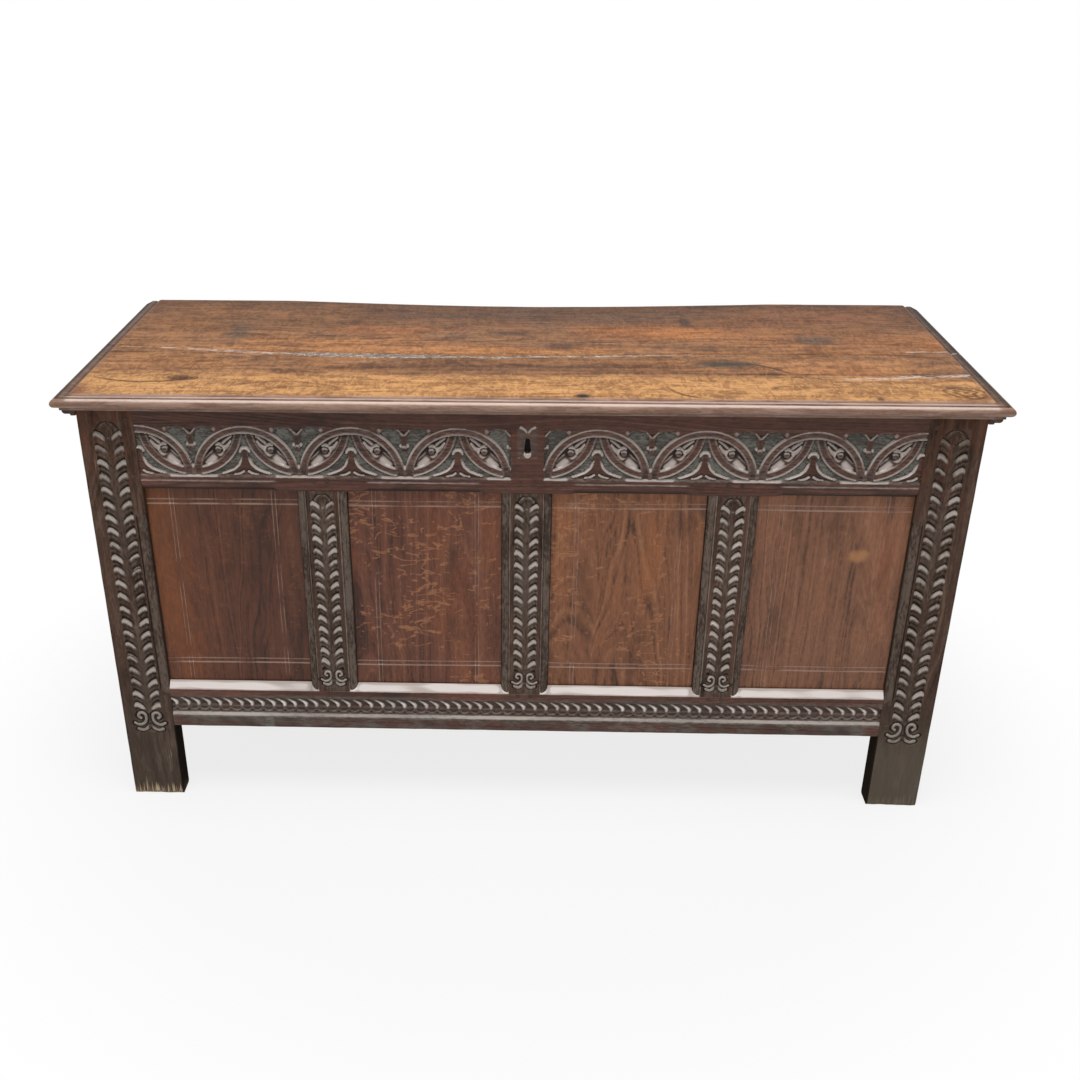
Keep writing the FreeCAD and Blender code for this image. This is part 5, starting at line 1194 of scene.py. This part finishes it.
def lid_top(x, y, inward):
    """The upper side of a board: its height, then sunk, edge, rim and filler."""
    seam = np.abs(y - seam_place(x))
    split = lid_split(x, y)
    sag = SAG * np.maximum(1 - (x / 430) ** 2, 0) ** 1.3 * step(y, -80, LID_BACK)
    low_corner = 1.4 * step(-x, 420, LID_END) * step(-y, 120, 261)
    open_seam = 0.9 * np.maximum(1 - seam / 2.2, 0)
    rear_edge = np.maximum(2.4 - (LID_BACK - y), 0) ** 2 / 4.5
    wave = 0.22 * (waver(x, y * 3, 300, 81) - 0.3) + 0.12 * waver(x, y, 60, 82)
    wave = wave * (1 - inside(np.abs(x) - 465, 20, 10) * step(y, 150, 190))
    drop = np.where(inward < NOSE, LID_TOP - NOSE_LEVEL - nose(inward),
                    profile(inward, EDGE_SECTION))
    drop = drop + (sag + low_corner) * step(inward, 0, 40)
    drop = drop + (open_seam + rear_edge + np.maximum(wave, 0) + split) * step(inward, 3, 9)
    # Sunk darkens the quirk and the cove as painted shade and the seam as a dark joint; edge is
    # painted highlight on the nose, the fillet and the line beside the field, less at the ends.
    sunk = most(np.where(np.abs(inward - 7.8) < 0.7, 0.7, 0),
                0.45 * inside(inward - 18.6, 1.8, 1.5), 0.6 * np.maximum(1 - seam / 3, 0))
    edge = 0.75 * inside(inward - 4.2, 2.6, 2.4) + 0.5 * inside(inward - 12.5, 3, 2)
    edge = edge + 0.25 * inside(inward - 23, 1.6, 1.5)
    edge = edge * (1 - 0.7 * step(np.abs(x), 658, 668))
    torn = patchy(x, y, 90, 84, 0.7, 0.5)
    edge = edge + 0.5 * profile(x, SEAM_PAINT) * torn * inside(seam, 2.4, 2)
    edge = edge + 0.4 * torn * np.minimum(split, 1)
    half = profile(x, FILLER_HALF)
    filler = inside(y - seam_place(x) + 5, half, 7) * step(half, 0, 4)
    return LID_TOP - drop, sunk, edge, step(inward, 25.5, 21.5), filler


def lid_foot(x, y, inward):
    """The underside of a board: its height, then sunk, edge, rim and filler."""
    rise = np.where(inward < 9.5, 5, 0)
    rise = np.where(inward < NOSE, NOSE_LEVEL - LID_FOOT - nose(inward), rise)
    # Under the nose the undercut is darkened as painted shade, and the edge of 0.25 paints a little
    # light over the whole underside.
    sunk = np.where((rise > 4.9) & (inward > 6.9), 0.45, 0.1)
    return (LID_FOOT + rise, sunk, np.full_like(x, 0.25), step(inward, 12, 9),
            np.zeros_like(x))


def lid_board(name, node, front):
    """The front board carries the moulding on three sides, the rear board at its ends."""
    ends = EDGE_LINES[:-1]
    inner = np.arange(-LID_END + BORDER, LID_END - BORDER + 0.01, 4.4)
    across = np.concatenate([-LID_END + ends, inner, [LID_END - BORDER], LID_END - ends[::-1]])
    across = np.unique(np.round(across, 3))
    across = across[np.insert(np.diff(across) > 0.12, 0, True)]
    seam = seam_place(across)
    if front:
        near, far = np.full_like(across, LID_FRONT + BORDER), seam - SEAM_GAP
        shares = np.append(ROWS ** 0.9, [0.99, 0.996, 1])
        rim = [np.full_like(across, LID_FRONT + line) for line in EDGE_LINES]
    else:
        near, far = seam + SEAM_GAP, np.full_like(across, LID_BACK)
        shares = np.concatenate([[0, 0.004, 0.01], ROWS, [0.985, 0.992, 0.997, 1]])
        rim = []
    y = np.array(rim + [near + share * (far - near) for share in shares])
    x = np.tile(across, (len(y), 1))

    def inward_of(x, y):
        return np.minimum(LID_END - np.abs(x), y - LID_FRONT) if front else LID_END - np.abs(x)

    def off_the_rim(edge):
        """Whether a boundary edge lies away from a moulded rim."""
        middle = (edge.verts[0].co + edge.verts[1].co) / 2 / MM
        inward = inward_of(middle.x, middle.y)
        return inward > 0.001 or (not front and abs(middle.x) < LID_END - 0.001)

    bm = with_layers(bmesh.new())
    for side in (lid_top, lid_foot):
        level, *fields = side(x, y, inward_of(x, y))
        fill_grid(bm, *rounded_corner(x, y), level, fields)
    chain = [edge for edge in bm.edges if edge.is_boundary and off_the_rim(edge)]
    parts = [chain]
    if not front:
        parts = [[edge for edge in chain if (edge.verts[0].co.y / MM < 100) == near_seam]
                 for near_seam in (True, False)]
    for part in parts:
        bmesh.ops.bridge_loops(bm, edges=part)
    bmesh.ops.remove_doubles(bm, verts=bm.verts, dist=2e-5)
    finish_piece(name, bm, "lid", [node], LID_OAK, 32)


# The rest of the chest ----------------------------------------------

body_of = {node: body for body, nodes in frame["record"]["behaviour"]["bodies"].items()
           for node in nodes}

X_MEMBERS = ("rear_top_rail", "rear_bottom_rail")
Z_MEMBERS = ("rear_left_stile", "rear_right_stile", "left_muntin", "right_muntin",
             "rear_muntin_1", "rear_muntin_2")
Y_MEMBERS = ("left_top_rail", "left_bottom_rail", "right_top_rail", "right_bottom_rail",
             "lid_left_cleat", "lid_right_cleat")
PLAIN_PANELS = ("left_panel_1", "left_panel_2", "right_panel_1", "right_panel_2",
                "rear_panel_1", "rear_panel_2", "rear_panel_3")
PEGS = ("front_pegs", "left_pegs", "right_pegs", "rear_pegs")
IRONWORK = ("catch_nails", "catch_plate", "catch_staple", "cleat_nails", "floor_nails",
            "left_lid_eye", "left_rail_eye", "right_lid_eye", "right_rail_eye", "lock_bolt",
            "lock_case", "lock_nails", "lock_plate", "lock_spring")


def softened_solid(node, material, soft=1.1):
    """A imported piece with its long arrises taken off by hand."""
    bm = with_layers(bmesh.new())
    add_packed(bm, node, soft=soft)
    finish_piece(f"worn_{node}", bm, body_of[node], [node], material)


def build_chest():
    front_top_rail()
    front_bottom_rail()
    front_stile(-1)
    front_stile(1)
    for number, centre in enumerate(MUNTIN_CENTRES, 1):
        front_muntin(number, centre)
    for number in range(1, 5):
        front_panel(number)
    lid_board("moulded_front_board", "lid_front_board", True)
    lid_board("plain_rear_board", "lid_rear_board", False)
    for members, material in ((X_MEMBERS, RAIL_OAK), (Z_MEMBERS, POST_OAK), (Y_MEMBERS, END_OAK)):
        for node in members:
            softened_solid(node, material)
    for node in PLAIN_PANELS:
        softened_solid(node, PANEL_OAKS[0], 0)
    for number in range(1, 6):
        softened_solid(f"floor_board_{number}", FLOOR_OAK, 0.8)
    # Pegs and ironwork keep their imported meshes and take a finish.
    for nodes, material in ((PEGS, PEG_OAK), (IRONWORK, IRON)):
        for node in nodes:
            for place in frame["nodes"][node].material_slots:
                place.material = material


# Stage, light and camera --------------------------------------------

WHITE = (1, 1, 1, 1)
PAPER = (0.84, 0.84, 0.84, 1)
FLOOR_SIZE = 6
SKY_FILL = 0.36


def camera_share(finish):
    """1 for what the camera sees itself or in a reflection, 0 for what lights the chest."""
    seen, shiny = (finish.node("ShaderNodeLightPath", output=f"Is {ray} Ray")
                   for ray in ("Camera", "Glossy"))
    return maths("MAXIMUM", seen, shiny)


def pale_floor():
    bm = bmesh.new()
    bmesh.ops.create_grid(bm, x_segments=1, y_segments=1, size=FLOOR_SIZE)
    mesh = mesh_of("floor", bm)
    finish = Finish(bpy.data.materials.new("floor_paper"))
    paper = finish.node("ShaderNodeBsdfDiffuse", {}, {"Color": PAPER})
    glow = finish.node("ShaderNodeEmission", {}, {"Color": WHITE, "Strength": 1})
    place = finish.node("ShaderNodeTexCoord", output="Object")
    away = finish.node("ShaderNodeVectorMath", {"operation": "LENGTH"}, {0: place}, "Value")
    share = camera_share(finish) * (ramp(away, 0.6, 1.15) * 0.2 + 0.8)
    both = finish.node("ShaderNodeMixShader", {}, {0: share, 1: paper, 2: glow})
    mesh.materials.append(finish.show(both))
    floor = put("floor", mesh)


def pale_world():
    world = bpy.data.worlds.new("studio")
    bpy.context.scene.world = world
    finish = Finish(world)
    around, seen = (finish.node("ShaderNodeBackground", {}, {"Color": WHITE, "Strength": strength})
                    for strength in (SKY_FILL, 1))
    share = camera_share(finish)
    both = finish.node("ShaderNodeMixShader", {}, {0: share, 1: around, 2: seen})
    finish.show(both, "ShaderNodeOutputWorld")


def soft_lamp(name, place, aim, width, height, power):
    lamp = bpy.data.lights.new(name, "AREA")
    lamp.shape, lamp.size, lamp.size_y, lamp.energy = "RECTANGLE", width, height, power
    holder = put(name, lamp)
    holder.location = place
    holder.rotation_euler = (Vector(aim) - Vector(place)).to_track_quat("-Z", "Y").to_euler()


def front_camera():
    camera = bpy.data.cameras.new("camera")
    camera.lens, camera.sensor_width = 41.854, 36
    camera.shift_x, camera.shift_y = 0.0446, 0.0185
    holder = put("camera", camera)
    holder.location = (-0.0046, -1.94287, 1.32878)
    holder.rotation_euler = Euler((math.radians(62.949), 0, math.radians(1.598)))
    bpy.context.scene.camera = holder


build_chest()
pale_floor()
pale_world()
soft_lamp("overhead", (0, -0.75, 2.7), (0, -0.15, 0.4), 2.4, 1.4, 46)
soft_lamp("front_fill", (-0.6, -3.2, 1.9), (0, 0, 0.35), 2.4, 1.6, 9)
front_camera()

view = bpy.context.scene.view_settings
view.view_transform = "Standard"
